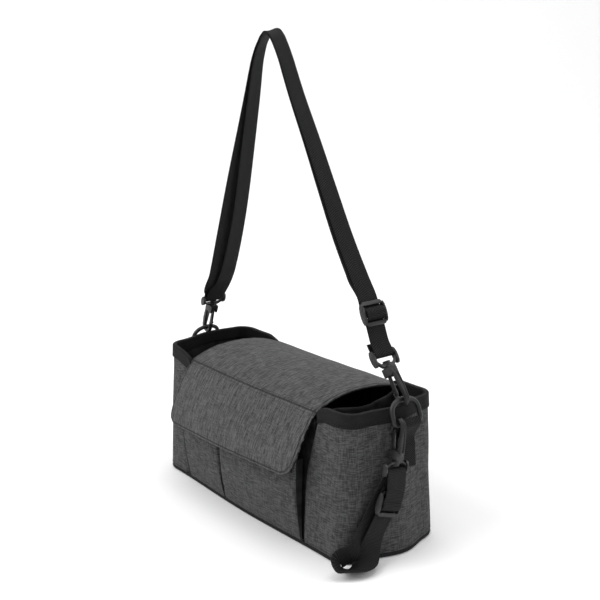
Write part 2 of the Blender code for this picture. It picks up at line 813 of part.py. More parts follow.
def flap(material, tape):
    flap_sheet("flap_top", (0.0, FLAP_CLOTH), material)
    flap_sheet("flap_front", (0.0, FLAP_CLOTH), material)
    flap_sheet("flap_lining", (FLAP_CLOTH + GAP, FLAP_CLOTH + GAP + LINING), tape)


def fasteners(material):
    """Loop tape on the front pocket's binding and hook tape on the flap's lining."""
    low = FASTENER_Z - FASTENER_HEIGHT / 2
    rows = spread(low, low + FASTENER_HEIGHT, 2)
    columns = spread(FASTENER_X - FASTENER_LENGTH / 2, FASTENER_X + FASTENER_LENGTH / 2, 6)

    def on_pocket(depth):
        return [[Vector((x, front_point(x, z, 0.0).y - pocket_out(x, None, z) - depth, z))
                 for x in columns] for z in rows]

    def on_flap(depth):
        share = [(z - FLAP_BOTTOM) / (flap_height(-SEAM_Y) - FLAP_BOTTOM) for z in rows]
        return [[Vector((x, -SEAM_Y - FLAP_REACH + FLAP_REACH * part ** HANG_POWER
                         - seam_bow(x) + depth, z)) for x in columns]
                for z, part in zip(rows, share)]

    base = 2 * GAP + TAPE
    put("pocket_fastener", sheet("pocket_fastener", on_pocket(base + FASTENER_THICK),
                                 on_pocket(base)), material)
    cloth = (FLAP_CLOTH + LINING + 2 * GAP) * 1.1
    put("flap_fastener", sheet("flap_fastener", on_flap(cloth),
                               on_flap(cloth + FASTENER_THICK)), material)


# End rings
def ring_frame(side):
    """Place of an end ring: its bar's middle, and the way from the bar to its top."""
    sign = SIDES[side]
    wall = on_bag(end_s(RING_Y), RING_BAR_Z).x
    lean = math.radians(RING_LEAN)
    bar = Vector((sign * (wall + RING_STAND), RING_Y, RING_BAR_Z))
    return bar, Vector((-sign * math.sin(lean), 0, math.cos(lean)))


def d_ring(side, material):
    bar, up = ring_frame(side)
    half = RING_WIDTH / 2 + RING_WIRE
    corner = RING_CORNER
    flat = [(-(half - corner), 0.0), (0.0, 0.0), (half - corner, 0.0)]
    for a in (30, 60, 90):
        turn = math.radians(a)
        flat.append((half - corner + corner * math.sin(turn), corner - corner * math.cos(turn)))
    shoulder = RING_HEIGHT * RING_SHOULDER
    arc = [math.radians(a) for a in range(0, 181, 20)]
    crown = [(half * math.cos(a), shoulder + (RING_HEIGHT - shoulder) * math.sin(a) ** RING_ROUND)
             for a in arc]
    flat += crown
    for a in (90, 60, 30):
        turn = math.radians(a)
        flat.append((-(half - corner) - corner * math.sin(turn), corner - corner * math.cos(turn)))
    path = [bar + Vector((0, y, 0)) + up * v for y, v in flat]
    put("d_ring_" + side, tube("d_ring_" + side, path, RING_WIRE), material)


def tab_x(z):
    """Where the tab's inner layer lies on the end panel (its middle plane)."""
    spots = [on_bag(end_s(y), z).x for y in spread(RING_Y - WEBBING / 2, RING_Y + WEBBING / 2, 4)]
    return max(spots) + TAB_REST + WEB_THICK / 2


def ring_tab(side, material):
    """Webbing folded round the ring's bar, its two layers sewn flat to the end panel."""
    bar, _ = ring_frame("right")
    wrap = RING_WIRE + RUN_CLEAR + WEB_THICK / 2
    layer = WEB_THICK + LAYER_GAP
    line = [(tab_x(z), z) for z in spread(TAB_BOTTOM, TAB_LEAVES, 3)]
    arc = spread(math.radians(TAB_TURN), 0.0, 8)
    line += [(bar.x + wrap * math.cos(a), bar.z + wrap * math.sin(a)) for a in arc]
    line += [(bar.x + wrap - TAB_TUCK, bar.z - TAB_FALL)]
    line += [(tab_x(z) + layer, z) for z in reversed(spread(TAB_BOTTOM, TAB_LEAVES, 3))]
    place = turned_over(side)
    path = [place @ Vector((x, RING_Y + TAB_SHIFT, z)) for x, z in line]
    across = [Vector((0, 1, 0))] * len(path)
    put("ring_tab_" + side, webbing("ring_tab_" + side, path, across), material)


# Snap hooks, in their own frame: the loop's arc about the origin, the shank along +Z
def hook_mesh():
    """The hook's body with its fork, gate pin and swivel stem."""
    outer = HOOK_RADIUS + HOOK_BAR / 2
    inner = HOOK_RADIUS - HOOK_BAR / 2
    recess = HOOK_SHOULDER - HOOK_RECESS
    turns = spread(math.pi, 2 * math.pi, 8)
    outline = [(outer * math.cos(a), outer * math.sin(a)) for a in turns]
    outline += [(outer, HOOK_SHOULDER * 0.35), (outer * 0.92, HOOK_SHOULDER * 0.8),
                (HOOK_BASE_HALF, HOOK_SHOULDER), (HOOK_BASE_HALF * 0.62, HOOK_TOP),
                (-HOOK_BASE_HALF * 0.62, HOOK_TOP), (-HOOK_BASE_HALF, HOOK_SHOULDER),
                (-HOOK_BASE_HALF, recess), (-HOOK_BASE_HALF * 0.4, recess),
                (-HOOK_BASE_HALF * 0.3, HOOK_SHOULDER - HOOK_CROTCH),
                (inner * 0.55, HOOK_SHOULDER - HOOK_CROTCH), (inner * 0.95, recess)]
    outline += [(inner * math.cos(a), inner * math.sin(a)) for a in reversed(turns)]
    outline += [(-inner, GATE_TIP - HOOK_BAR * 0.55), (-HOOK_RADIUS, GATE_TIP - HOOK_BAR * 0.25),
                (-HOOK_RADIUS, NOSE_TIP - HOOK_BAR * 0.1), (-outer + HOOK_BAR * 0.15, NOSE_TIP)]
    body = moulded("hook", outline, [], HOOK_WIDTH, HOOK_BEVEL)
    x, z = GATE_PIVOT
    side = Matrix.Rotation(math.pi / 2, 4, "X")
    upright = Matrix.Identity(4)
    beyond = SLOT_BEYOND + RUN_CLEAR
    slot = block("slot", (x - SLOT_LEFT, -SLOT_WIDTH / 2, z - SLOT_BELOW),
                 (x + beyond, SLOT_WIDTH / 2, z + beyond))
    fork_half = HOOK_WIDTH * FORK_SWELL / 2
    fork = block("fork", (-HOOK_BASE_HALF, -fork_half, recess),
                 (HOOK_BASE_HALF * 0.9, fork_half, HOOK_TOP - HOOK_BAR * 0.3))
    stem_top = HOOK_TOP + RUN_CLEAR + FRAME_PLATE + RUN_CLEAR
    steps = (("UNION", fork), ("DIFFERENCE", slot),
             ("UNION", rod("pin", GATE_PIN, (-HOOK_WIDTH * 0.6, HOOK_WIDTH * 0.6), (x, 0, z), side, 8)),
             ("UNION", rod("stem", STEM_RADIUS, (HOOK_TOP - STEM_SUNK, stem_top + STEM_HEAD_TALL / 2),
                           (0, 0, 0), upright)),
             ("UNION", rod("head", STEM_HEAD, (stem_top, stem_top + STEM_HEAD_TALL), (0, 0, 0), upright)))
    return combined("hook", body, steps)


def gate_mesh():
    """The sprung gate, about its own pivot: eye, leaf, thumb nub and tongue behind the nose."""
    x0, z0 = GATE_PIVOT
    arc = [math.radians(a) for a in range(200, -21, -36)]
    outline = [(GATE_EYE * math.cos(a), GATE_EYE * math.sin(a)) for a in arc]
    inner = HOOK_RADIUS - HOOK_BAR / 2
    left = -HOOK_RADIUS - HOOK_BAR / 2
    inside = -inner + GATE_LEAF
    points = [(inside, GATE_NUB_HIGH), (inside, NOSE_TIP), (inside, GATE_TIP),
              (-HOOK_RADIUS + GATE_LEAF, GATE_TIP), (-HOOK_RADIUS + GATE_LEAF, NOSE_TIP + GATE_LEAF),
              (left + GATE_LEAF, NOSE_TIP + GATE_LEAF * 2), (left - GATE_NUB, GATE_NUB_LOW),
              (left - GATE_NUB, GATE_NUB_HIGH), (left + GATE_LEAF, GATE_NUB_HIGH + GATE_NUB_TALL)]
    outline += [(x - x0, z - z0) for x, z in points]
    body = moulded("gate", outline, [], GATE_WIDTH, GATE_BEVEL)
    side = Matrix.Rotation(math.pi / 2, 4, "X")
    bore = rod("bore", GATE_PIN + RUN_CLEAR, (-GATE_WIDTH, GATE_WIDTH), (0, 0, 0), side, 12)
    return combined("gate", body, (("DIFFERENCE", bore),))


def bar_height():
    """Height of the webbing bar's middle over the hook's arc."""
    return HOOK_TOP + RUN_CLEAR + FRAME_PLATE + FRAME_WINDOW - FRAME_BAR / 2


def frame_mesh():
    """The webbing frame: plate with a swivel hole, two sides and the bar. Its width is local Y."""
    foot = HOOK_TOP + RUN_CLEAR
    top = bar_height() + FRAME_BAR / 2
    half, inner = FRAME_HALF, FRAME_WINDOW_HALF
    side_from, shoulder = foot + FRAME_SIDE_FROM, foot + FRAME_SHOULDER
    outline = [(-half * 0.42, foot), (half * 0.42, foot), (half * 0.86, shoulder),
               (half, side_from), (half, top - FRAME_CORNER), (half - FRAME_CORNER, top),
               (-half + FRAME_CORNER, top), (-half, top - FRAME_CORNER), (-half, side_from),
               (-half * 0.86, shoulder)]
    low = foot + FRAME_PLATE
    window_from = low + FRAME_PLATE
    window = [(-inner * 0.62, low), (-inner, window_from), (-inner, top - FRAME_BAR),
              (inner, top - FRAME_BAR), (inner, window_from), (inner * 0.62, low)]
    body = moulded("frame", outline, [window], FRAME_THICK, FRAME_BEVEL)
    across = Matrix.Rotation(math.pi / 2, 4, "Z")
    body.transform(across)
    middle = bar_height() - FRAME_WINDOW / 2 + FRAME_BAR / 2
    cheeks = [cheek(sign * (half + inner) / 2, half - inner, middle, FRAME_WINDOW * 0.72)
              for sign in (-1, 1)]
    for one in cheeks:
        one.transform(across)
    boss = rod("boss", STEM_HEAD + 0.0006, (foot, foot + FRAME_PLATE - 0.0001), (0, 0, 0),
               Matrix.Identity(4), 16)
    hole = rod("hole", STEM_RADIUS + RUN_CLEAR, (foot - 0.01, foot + 0.01), (0, 0, 0),
               Matrix.Identity(4), 16)
    steps = [("UNION", one) for one in (*cheeks, boss)]
    return combined("frame", body, (*steps, ("DIFFERENCE", hole)))


def slider_mesh():
    """A three-bar slider in its XZ plane, bars across X, webbing along Z, front at -Y."""
    half, inner = SLIDER_HALF, SLIDER_WINDOW_HALF
    mid = SLIDER_MIDDLE / 2
    slot = mid + SLIDER_SLOT
    top = slot + SLIDER_BAR
    cut = SLIDER_CORNER
    outline = [(-half + cut, -top), (half - cut, -top), (half, -top + cut), (half, top - cut),
               (half - cut, top), (-half + cut, top), (-half, top - cut), (-half, -top + cut)]
    upper = [(-inner, mid), (-inner, slot), (inner, slot), (inner, mid)]
    lower = [(-inner, -slot), (-inner, -mid), (inner, -mid), (inner, -slot)]
    body = moulded("slider", outline, [upper, lower], SLIDER_THICK, SLIDER_BEVEL)
    cheeks = [cheek(sign * (half + inner) / 2, half - inner, 0.0, top * 0.86) for sign in (-1, 1)]
    return combined("slider", body, [("UNION", one) for one in cheeks])


def cheek(x, wide, z, reach):
    """An oval plate standing square to a buckle's face at its side, in the YZ plane."""
    turns = [2 * math.pi * (k + 0.5) / 12 for k in range(12)]
    sections = [[Vector((x + side * wide * CHEEK_SHARE / 2, CHEEK_DEPTH / 2 * math.cos(a),
                         z + reach * math.sin(a))) for a in turns] for side in (-1, 1)]
    return loft("cheek", sections)


def placed(spot, shank, across):
    """Matrix with +Z along the shank and +X as near as it can be to a given way."""
    z = Vector(shank).normalized()
    x = Vector(across)
    x = (x - z * x.dot(z)).normalized()
    y = z.cross(x)
    turned = Matrix((x, y, z)).transposed().to_4x4()
    return Matrix.Translation(spot) @ turned


def strap_hook_place(side):
    """A shoulder strap hook: its arc holds the ring's top."""
    bar, up = ring_frame(side)
    sign = SIDES[side]
    tilt = math.radians(STRAP_TILT[side])
    shank = Vector((-sign * math.sin(tilt), 0, math.cos(tilt)))
    pull = HOOK_RADIUS - HOOK_BAR / 2 - RING_WIRE - HOOK_SEAT
    spot = bar + up * RING_HEIGHT + shank * pull
    return placed(spot, shank, (sign, 0, 0))


def turned_over(side):
    """Moves the right end's stroller strap to its own end: the left one is turned half round."""
    if side == "right":
        return Matrix.Identity(4)
    centre = Matrix.Translation((0, RING_Y, 0))
    return centre @ Matrix.Rotation(math.pi, 4, "Z") @ centre.inverted()


def stroller_hook_place(side):
    """A stroller strap hook: it hangs from the ring's bar beside the tab."""
    bar, _ = ring_frame("right")
    sway, out = math.radians(SWAY), math.radians(LEAN_OUT)
    shank = Vector((math.sin(out), -math.sin(sway), -math.cos(sway) * math.cos(out)))
    pull = HOOK_RADIUS - HOOK_BAR / 2 - RING_WIRE - HOOK_SEAT
    free = RING_WIDTH / 2 - (WEBBING / 2 - TAB_SHIFT)
    spot = Vector((bar.x, RING_Y - RING_WIDTH / 2 + free / 2, bar.z)) + shank * pull
    return turned_over(side) @ placed(spot, shank, (1, 0, 0))


def snap_hook(kind, side, place, parts, material, parent=None):
    """Frame, hook and gate of one snap hook, from shared meshes."""
    hook, gate, frame = parts
    put(f"{kind}_frame_{side}", frame, material, place, parent)
    put(f"{kind}_hook_{side}", hook, material, place, parent)
    at_pin = place @ Matrix.Translation((GATE_PIVOT[0], 0, GATE_PIVOT[1]))
    put(f"{kind}_gate_{side}", gate, material, at_pin, parent)


# Straps
def station(point, turn=0.0, dip=0.0):
    """A place on a strap, with how far its width is turned about Z and dipped, in degrees."""
    return np.array((*point, turn, dip))


def smooth_line(points, step):
    """Stations about a step apart on a smooth curve through the given ones."""
    spaced = [points[0] * 2 - points[1], *points, points[-1] * 2 - points[-2]]
    line = []
    for a, b, c, d in zip(spaced, spaced[1:], spaced[2:], spaced[3:]):
        count = max(1, round(float(np.linalg.norm((c - b)[:3])) / step))
        for k in range(count):
            t = k / count
            line.append(0.5 * (2 * b + (c - a) * t + (2 * a - 5 * b + 4 * c - d) * t ** 2
                               + (3 * b - a - 3 * c + d) * t ** 3))
    return [*line, points[-1]]


def ribbon(name, stations):
    """Webbing through stations."""
    path = [Vector(s[:3]) for s in stations]
    across = []
    for s in stations:
        turn, dip = math.radians(s[3]), math.radians(s[4])
        across.append(Vector((-math.sin(turn), math.cos(turn) * math.cos(dip), -math.sin(dip))))
    return webbing(name, path, across)


def through_slider():
    """The main webbing's way through a slider, as (height along it, distance out of its face)."""
    back = -(SLIDER_THICK / 2 + RUN_CLEAR + WEB_THICK / 2)
    crown = SLIDER_MIDDLE * 0.6 + WEB_THICK * 1.5 + 2 * RUN_CLEAR + LAYER_GAP
    slot = SLIDER_MIDDLE / 2 + SLIDER_SLOT
    over = [(crown * math.cos(math.radians(a)), crown * math.sin(math.radians(a)))
            for a in (36, 63, 90, 117, 144)]
    return [(slot + SLIDER_BAR, back), (slot, back), *over, (-slot, back), (-slot - SLIDER_BAR, back)]


def round_middle_bar():
    """The sewn end's way round a slider's middle bar, from behind its top slot."""
    wrap = SLIDER_MIDDLE * 0.6 + RUN_CLEAR + WEB_THICK / 2
    far = -(SLIDER_THICK / 2 + RUN_CLEAR + WEB_THICK * 1.5 + LAYER_GAP)
    around = [(wrap * math.cos(math.radians(a)), wrap * math.sin(math.radians(a)))
              for a in (250, 225, 190, 155, 120, 90, 60, 30, 0, -20)]
    return [(0.020, far), (0.008, far), *around]


def wrapped(bar, shank, out, radius):
    """Places half round a frame's bar on the hook's side, from one face to the other."""
    return [bar + out * radius * math.cos(a) - shank * radius * math.sin(a)
            for a in spread(0, math.pi, 6)]


def bar_wrap():
    """Distance from a frame bar's middle to the middle of the webbing round it."""
    return FRAME_BAR / 2 * 1.25 + RUN_CLEAR + WEB_THICK / 2


def fan(z, most):
    """How far a layer of the doubled strap has slid sideways at a height."""
    return most * math.exp(-((z - FAN_HEIGHT) / FAN_SPAN) ** 2)


def shoulder_strap(slider, material, plastic):
    """One webbing: sewn at the right hook, through the slider, over to the left hook and back."""
    lean = math.radians(SLIDER_LEAN)
    up = Vector((-math.sin(lean), 0, math.cos(lean)))
    out = Vector((math.cos(lean), 0, math.sin(lean)))
    centre = over_bag(*SLIDER_AT)
    places = {side: strap_hook_place(side) for side in SIDES}
    bars = {side: place @ Vector((0, 0, bar_height())) for side, place in places.items()}
    shanks = {side: (place.to_3x3() @ Vector((0, 0, 1))).normalized()
              for side, place in places.items()}
    wrap = bar_wrap()

    right_out = Vector((shanks["right"].z, 0, -shanks["right"].x))
    turn = wrapped(bars["right"], shanks["right"], -right_out, wrap)
    through = [centre + up * h + out * n for h, n in reversed(through_slider())]
    start = [station(turn[0] + shanks["right"] * STRAP_TAIL)]
    start += [station(turn[0] + shanks["right"] * STRAP_TAIL / 2)]
    start += [station(p) for p in turn]
    lift = [station(turn[-1]), station(turn[-1] + shanks["right"] * 0.012), station(through[0])]
    start += smooth_line(lift, 0.010)[1:-1]

    left_out = Vector((-shanks["left"].z, 0, shanks["left"].x))
    back = wrapped(bars["left"], shanks["left"], left_out, wrap)
    limbs = {side: [station(over_bag(share, rise), turned) for share, rise, turned in line]
             for side, line in (("right", LIMB_RIGHT), ("left", LIMB_LEFT))}
    apex = station(over_bag(*APEX[:2]), APEX[2])
    outer = smooth_line([station(through[-1]), *limbs["right"], apex, *limbs["left"],
                         station(back[0] + shanks["left"] * 0.008)], 0.014)
    inner = inside_of(outer, WEB_THICK + LAYER_GAP)
    for line, share in ((outer, -0.5), (inner, 0.5)):
        for s in line[1:-1]:
            s[1] += fan(s[2], FAN_LEFT if s[0] < apex[0] else FAN_RIGHT) * share
    sewn = [centre + up * h + out * n for h, n in round_middle_bar()]
    path = [*start, *[station(p) for p in through[:-1]], *outer, *[station(p) for p in back],
            station(back[-1] + shanks["left"] * 0.008), *reversed(inner[2:-1]),
            *[station(p) for p in sewn]]
    put("shoulder_strap", ribbon("shoulder_strap", path), material)
    put("shoulder_slider", slider, plastic, placed(centre, up, (0, 1, 0)))


def over_bag(share, rise):
    """A place of the shoulder strap, in the plane of the two rings."""
    return Vector((share * BAG_LENGTH / 2, RING_Y, RING_BAR_Z + rise))


def beside_end(out, back, share):
    """A place of the right stroller strap, from the bag's front right corner."""
    return Vector((BAG_LENGTH / 2 + out, back - BAG_DEPTH / 2, share * RING_BAR_Z))


def inside_of(line, depth):
    """The same line moved in towards the inside of the strap's loop."""
    moved = []
    last = len(line) - 1
    for i, s in enumerate(line):
        along = Vector((line[min(i + 1, last)] - line[max(i - 1, 0)])[:3]).normalized()
        copy = s.copy()
        copy[0] += -along.z * depth
        copy[2] += along.x * depth
        moved.append(copy)
    return moved


def stroller_strap(side, slider, material, plastic, parent):
    """Webbing loop: sewn on the slider, over the hook's bar, down, round and up to the slider."""
    place = stroller_hook_place("right")
    bar = place @ Vector((0, 0, bar_height()))
    turned = place.to_3x3()
    shank, out = turned @ Vector((0, 0, 1)), turned @ Vector((1, 0, 0))
    centre = beside_end(*LOOP_SLIDER)
    lean = math.radians(LOOP_SLIDER_LEAN)
    up = Vector((0, math.sin(lean), math.cos(lean)))
    face = Vector((1, 0, 0))

    sewn = [station(centre + up * h + face * n, 0, LOOP_SLIDER_LEAN)
            for h, n in reversed(round_middle_bar())]
    over = [station(p, 0, SWAY) for p in wrapped(bar, shank, out, bar_wrap())]
    through = [station(centre + up * h + face * n, 0, LOOP_SLIDER_LEAN)
               for h, n in reversed(through_slider())]
    loop = [station(beside_end(*p[:3]), p[3]) for p in (*reversed(LOOP_BACK), *reversed(LOOP_TURN),
                                                        *reversed(LOOP_FRONT))]
    tail = station(centre + up * 0.018 + face * (through_slider()[0][1]), 0, LOOP_SLIDER_LEAN)
    down = station(Vector(over[-1][:3]) + shank * 0.004, 0, SWAY)
    rise = station(Vector(over[0][:3]) + shank * 0.004, 0, SWAY)
    path = [*sewn, rise, *over, *smooth_line([down, *loop, through[0]], 0.009)[:-1], *through, tail]
    name = "stroller_strap_" + side
    mesh = ribbon(name, path)
    mesh.transform(turned_over(side))
    put(name, mesh, material, None, parent)
    put("stroller_slider_" + side, slider, plastic,
        turned_over(side) @ placed(centre, up, (0, 1, 0)), parent)


def build():
    clear_scene()
    melange = finish("melange", MELANGE, 0.95)
    melange_top = finish("melange_flap", MELANGE_TOP, 0.95)
    black_cloth = finish("black_lining", BLACK_CLOTH, 0.9)
    black_web = finish("black_webbing", BLACK_WEB, 0.85)
    plastic = finish("black_plastic", BLACK_PLASTIC, 0.42)
    piping = finish("piping", PIPING_GREY, 0.8)

    base_panel(melange)
    base_piping(piping)
    front_wall(melange)
    back_wall(melange)
    main_lining(black_cloth)
    for side in SIDES:
        end_panel(side, melange)
        divider(side, black_cloth)
        pocket_lining(side, black_cloth)
        rim_binding(side, black_web)
    front_pocket(melange, black_web)
    flap(melange_top, black_cloth)
    fasteners(black_web)

    hook_parts = (hook_mesh(), gate_mesh(), frame_mesh())
    slider = slider_mesh()
    for side in SIDES:
        d_ring(side, plastic)
        ring_tab(side, black_web)
        snap_hook("strap", side, strap_hook_place(side), hook_parts, plastic)
        swing = pivot("stroller_swing_" + side, ring_frame(side)[0])
        snap_hook("stroller", side, stroller_hook_place(side), hook_parts, plastic, swing)
        stroller_strap(side, slider, black_web, plastic, swing)
    shoulder_strap(slider, black_web, plastic)


build()
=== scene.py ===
"""Stroller bag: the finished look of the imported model, laid out as a Blender add-on."""

import json
import math
from contextlib import contextmanager

import bmesh
import bpy
import numpy as np
from mathutils import Matrix, Vector, noise


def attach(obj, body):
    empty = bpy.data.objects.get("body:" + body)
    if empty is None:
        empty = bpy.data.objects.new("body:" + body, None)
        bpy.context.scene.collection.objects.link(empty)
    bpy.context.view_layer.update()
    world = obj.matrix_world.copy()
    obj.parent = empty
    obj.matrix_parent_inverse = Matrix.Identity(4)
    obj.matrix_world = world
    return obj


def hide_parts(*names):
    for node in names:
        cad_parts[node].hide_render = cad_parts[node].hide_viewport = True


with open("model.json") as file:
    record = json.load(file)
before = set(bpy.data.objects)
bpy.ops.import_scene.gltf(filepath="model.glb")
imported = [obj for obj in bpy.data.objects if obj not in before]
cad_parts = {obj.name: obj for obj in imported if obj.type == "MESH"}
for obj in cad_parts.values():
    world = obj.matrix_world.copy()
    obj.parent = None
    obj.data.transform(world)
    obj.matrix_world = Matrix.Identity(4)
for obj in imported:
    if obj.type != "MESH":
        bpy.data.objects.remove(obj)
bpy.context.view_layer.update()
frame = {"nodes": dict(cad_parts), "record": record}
BODY_OF = {node: body for body, nodes in frame["record"]["behaviour"]["bodies"].items()
           for node in nodes}

bl_info = {
    "name": "Stroller bag",
    "version": (1, 0, 0),
    "blender": (4, 5, 0),
    "location": "View3D > Sidebar > Stroller bag",
    "description": "Cloth, webbing, buckles and stitching of a stroller bag",
    "category": "Object",
}

SIDES = {"right": 1.0, "left": -1.0}

# Bag outline
LENGTH, DEPTH, RIM = 0.352, 0.130, 0.160
CORNER = 0.024
TOP_INSET, END_BULGE, FRONT_BULGE, BACK_BULGE, BELLY = 0.005, 0.0065, 0.004, 0.002, 0.3
FOOT_FORWARD, FOOT_CORNER = 0.0035, -0.0005
BACK_FOOT_CORNER, FOOT_SWELL = 0.0015, 0.0065
HALF_LONG = LENGTH / 2 - CORNER
HALF_END = DEPTH / 2 - CORNER
QUARTER = CORNER * math.pi / 2

# Cloth layers
GAP, WALL, BASE_THICK, PIPING, LINING, TAPE = 0.0004, 0.003, 0.005, 0.0023, 0.001, 0.001
WALL_FOOT = 2 * PIPING + 2 * GAP
WALL_TOP = RIM - TAPE - GAP
TAPE_HEIGHT = 0.015
RIM_DIP, RIM_DIP_LENGTH = 0.009, {"right": 0.022, "left": 0.046}
RIM_ARCH = {"right": 0.0, "left": 0.0026}
RIM_TUCK, RIM_TUCK_DROP, RIM_PINCH = 0.020, 0.0065, 0.62
DIVIDER_SAG = 0.006
DIVIDER_X = 0.118
FOLD_X = {"right": 0.1065, "left": 0.1200}
EDGE_SWEEP, EDGE_SWEEP_FROM = 0.020, 0.060
LEFT_TUCK, TUCK_DROP = 0.108, 0.0085

# Front pocket
POCKET_TOP, POCKET_CLOTH, POCKET_BULGE, POCKET_SWELL = 0.097, 0.0014, 0.0140, 2.2
PLEAT_X, PLEAT_DEPTH, GUSSET, POCKET_SLIT = -0.034, 0.0085, 0.0035, 0.0020

# Flap
FLAP_HALF, FLAP_CROWN, SEAM_Y, SEAM_DROP, BACK_DROP = 0.118, 0.1635, 0.059, 0.013, 0.0095
ARCH_POWER, BACK_TURN, BACK_HEM_Z, FLAP_CLOTH = 2.26, 0.006, 0.136, 0.0022
FLAP_REACH, FLAP_BOTTOM, FLAP_SLANT, HANG_POWER = 0.034, 0.078, 0.007, 1.67
FLAP_CORNER = {"right": 0.022, "left": 0.012}
SEAM_BOW = 0.0025
HEM_STITCH = 0.0028

# Webbing, rings, hooks, frames and sliders
WEBBING, WEB_THICK, LAYER_GAP, CLEAR = 0.025, 0.0013, 0.0004, 0.0003
RING_Y, RING_WIDTH, RING_WIRE, RING_CORNER, RING_STAND = 0.004, 0.032, 0.0021, 0.0032, 0.0100
RING_BAR_Z, RING_HEIGHT, RING_LEAN = 0.145, 0.0242, 20.0
TAB_SHIFT, TAB_BOTTOM, TAB_LEAVES, TAB_REST, TAB_TURN = 0.0030, 0.094, 0.126, 0.0005, 195.0
HOOK_RADIUS, HOOK_BAR, HOOK_WIDTH, HOOK_SHOULDER, HOOK_TOP = 0.0062, 0.0040, 0.0046, 0.029, 0.035
HOOK_SEAT = 0.0010
HOOK_SWELL, HOOK_TAPER, RIDGE = 1.5, 0.011, 0.0010
FRAME_STRETCH = {("strap", "right"): 1.34, ("strap", "left"): 0.92}
FRAME_SINK = {("strap", "right"): 0.0016, ("strap", "left"): 0.0016}
FRAME_BAR, FRAME_PLATE, FRAME_WINDOW = 0.0036, 0.0035, 0.0095
SLIDER_BAR, SLIDER_SLOT, SLIDER_MIDDLE, SLIDER_THICK = 0.0045, 0.0065, 0.0040, 0.0036

# Shoulder strap: share of half the length, height over the ring bars, turn about Z, dip
STRAP_TILT = {"right": 37.0, "left": 23.0}
LIMB_RIGHT = ((0.6506, 0.1330, 2), (0.5028, 0.1750, 5), (0.3636, 0.2210, 8), (0.2188, 0.2700, 11),
              (0.0710, 0.3180, 14), (-0.0369, 0.3570, 16), (-0.0852, 0.3715, 18, -4),
              (-0.1278, 0.3808, 21, -7))
APEX = (-0.1818, 0.3855, 25, -9)
LIMB_LEFT = ((-0.2358, 0.3825, 28, -9), (-0.2841, 0.3735, 30, -6), (-0.3409, 0.3540, 28),
             (-0.4119, 0.3110, 21), (-0.5227, 0.2480, 17), (-0.6761, 0.1630, 15),
             (-0.8182, 0.0970, 8))
SLIDER_AT, SLIDER_LEAN, STRAP_TAIL = (0.7727, 0.1030), 24.0, 0.014
FAN = {"left": 0.017, "right": -0.003}
FAN_HEIGHT, FAN_SPAN = 0.300, 0.135

# Stroller strap: degrees it leans, and its slider's place out from the end, back from the front
# and as a share of the bar's height
SWAY, LEAN_OUT = 8.0, 3.0
LOOP_SLIDER, LOOP_SLIDER_LEAN = (0.0145, 0.0425, 0.4414), 20.0
# Place and width's direction at stations down the back of the loop, round and up its front
LOOP = (
    (0.1822, -0.0307, 0.0611, -0.08, -0.92, 0.37), (0.1815, -0.0397, 0.0450, -0.09, -0.81, 0.59),
    (0.1811, -0.0481, 0.0326, -0.06, -0.66, 0.75), (0.1815, -0.0567, 0.0235, 0.02, -0.55, 0.83),
    (0.1805, -0.0650, 0.0199, 0.05, -0.60, 0.80), (0.1775, -0.0725, 0.0174, -0.05, -0.72, 0.69),
    (0.1767, -0.0784, 0.0150, 0.08, -0.82, 0.57), (0.1785, -0.0800, 0.0112, 0.33, -0.83, 0.45),
    (0.1808, -0.0787, 0.0072, 0.59, -0.74, 0.32), (0.1842, -0.0750, 0.0058, 0.76, -0.54, 0.35),
    (0.1880, -0.0694, 0.0056, 0.91, -0.20, 0.35), (0.1898, -0.0620, 0.0060, 0.97, 0.13, 0.22),
    (0.1888, -0.0545, 0.0080, 0.85, 0.53, 0.06), (0.1869, -0.0493, 0.0110, 0.62, 0.79, -0.01),
    (0.1850, -0.0433, 0.0193, 0.27, 0.94, -0.20), (0.1852, -0.0374, 0.0323, 0.02, 0.95, -0.30))

# Camera at the photograph's place
VIEW_AZIMUTH, VIEW_ELEVATION, VIEW_ROLL, VIEW_DISTANCE = 52.0, 13.8, -0.55, 1.102
VIEW_TARGET = (0.019, 0.0, 0.24035)
VIEW_LENS, VIEW_SENSOR = 59.52, 36.0

# Studio: the floor's profile across the view, then each lamp's name, place, size and power
FLOOR_HALF, FLOOR_NEAR, FLOOR_FAR, FLOOR_BEND, FLOOR_TOP, FLOOR_STEPS = 5.0, -4.0, 1.6, 1.2, 5.0, 24
WORLD_STRENGTH = 0.60
LAMPS = (("key_light", (-0.9, -2.2, 2.3), 2.6, 62.0), ("top_light", (0.0, 0.3, 2.6), 2.2, 30.0),
         ("back_light", (1.5, 2.0, 1.3), 1.2, 14.0))
LAMP_AIM = (0, 0, 0.12)

# Weave: yarns' pitch and lengths, wobble's ripples per metre and height, and the bump's depth
YARN_PITCH, WEFT_LENGTH, WARP_LENGTH = 0.00068, 0.0095, 0.0115
WOBBLE_RIPPLES, WOBBLE, THREAD_PITCH, WEAVE_BUMP = 60.0, 0.0010, 0.00085, 0.00035
LINING_THREAD, LINING_BUMP, RIB_THREAD = 0.0007, 0.0009, 0.0009
LOOP_RIB, PIPING_RIB = 0.0014, 0.0012

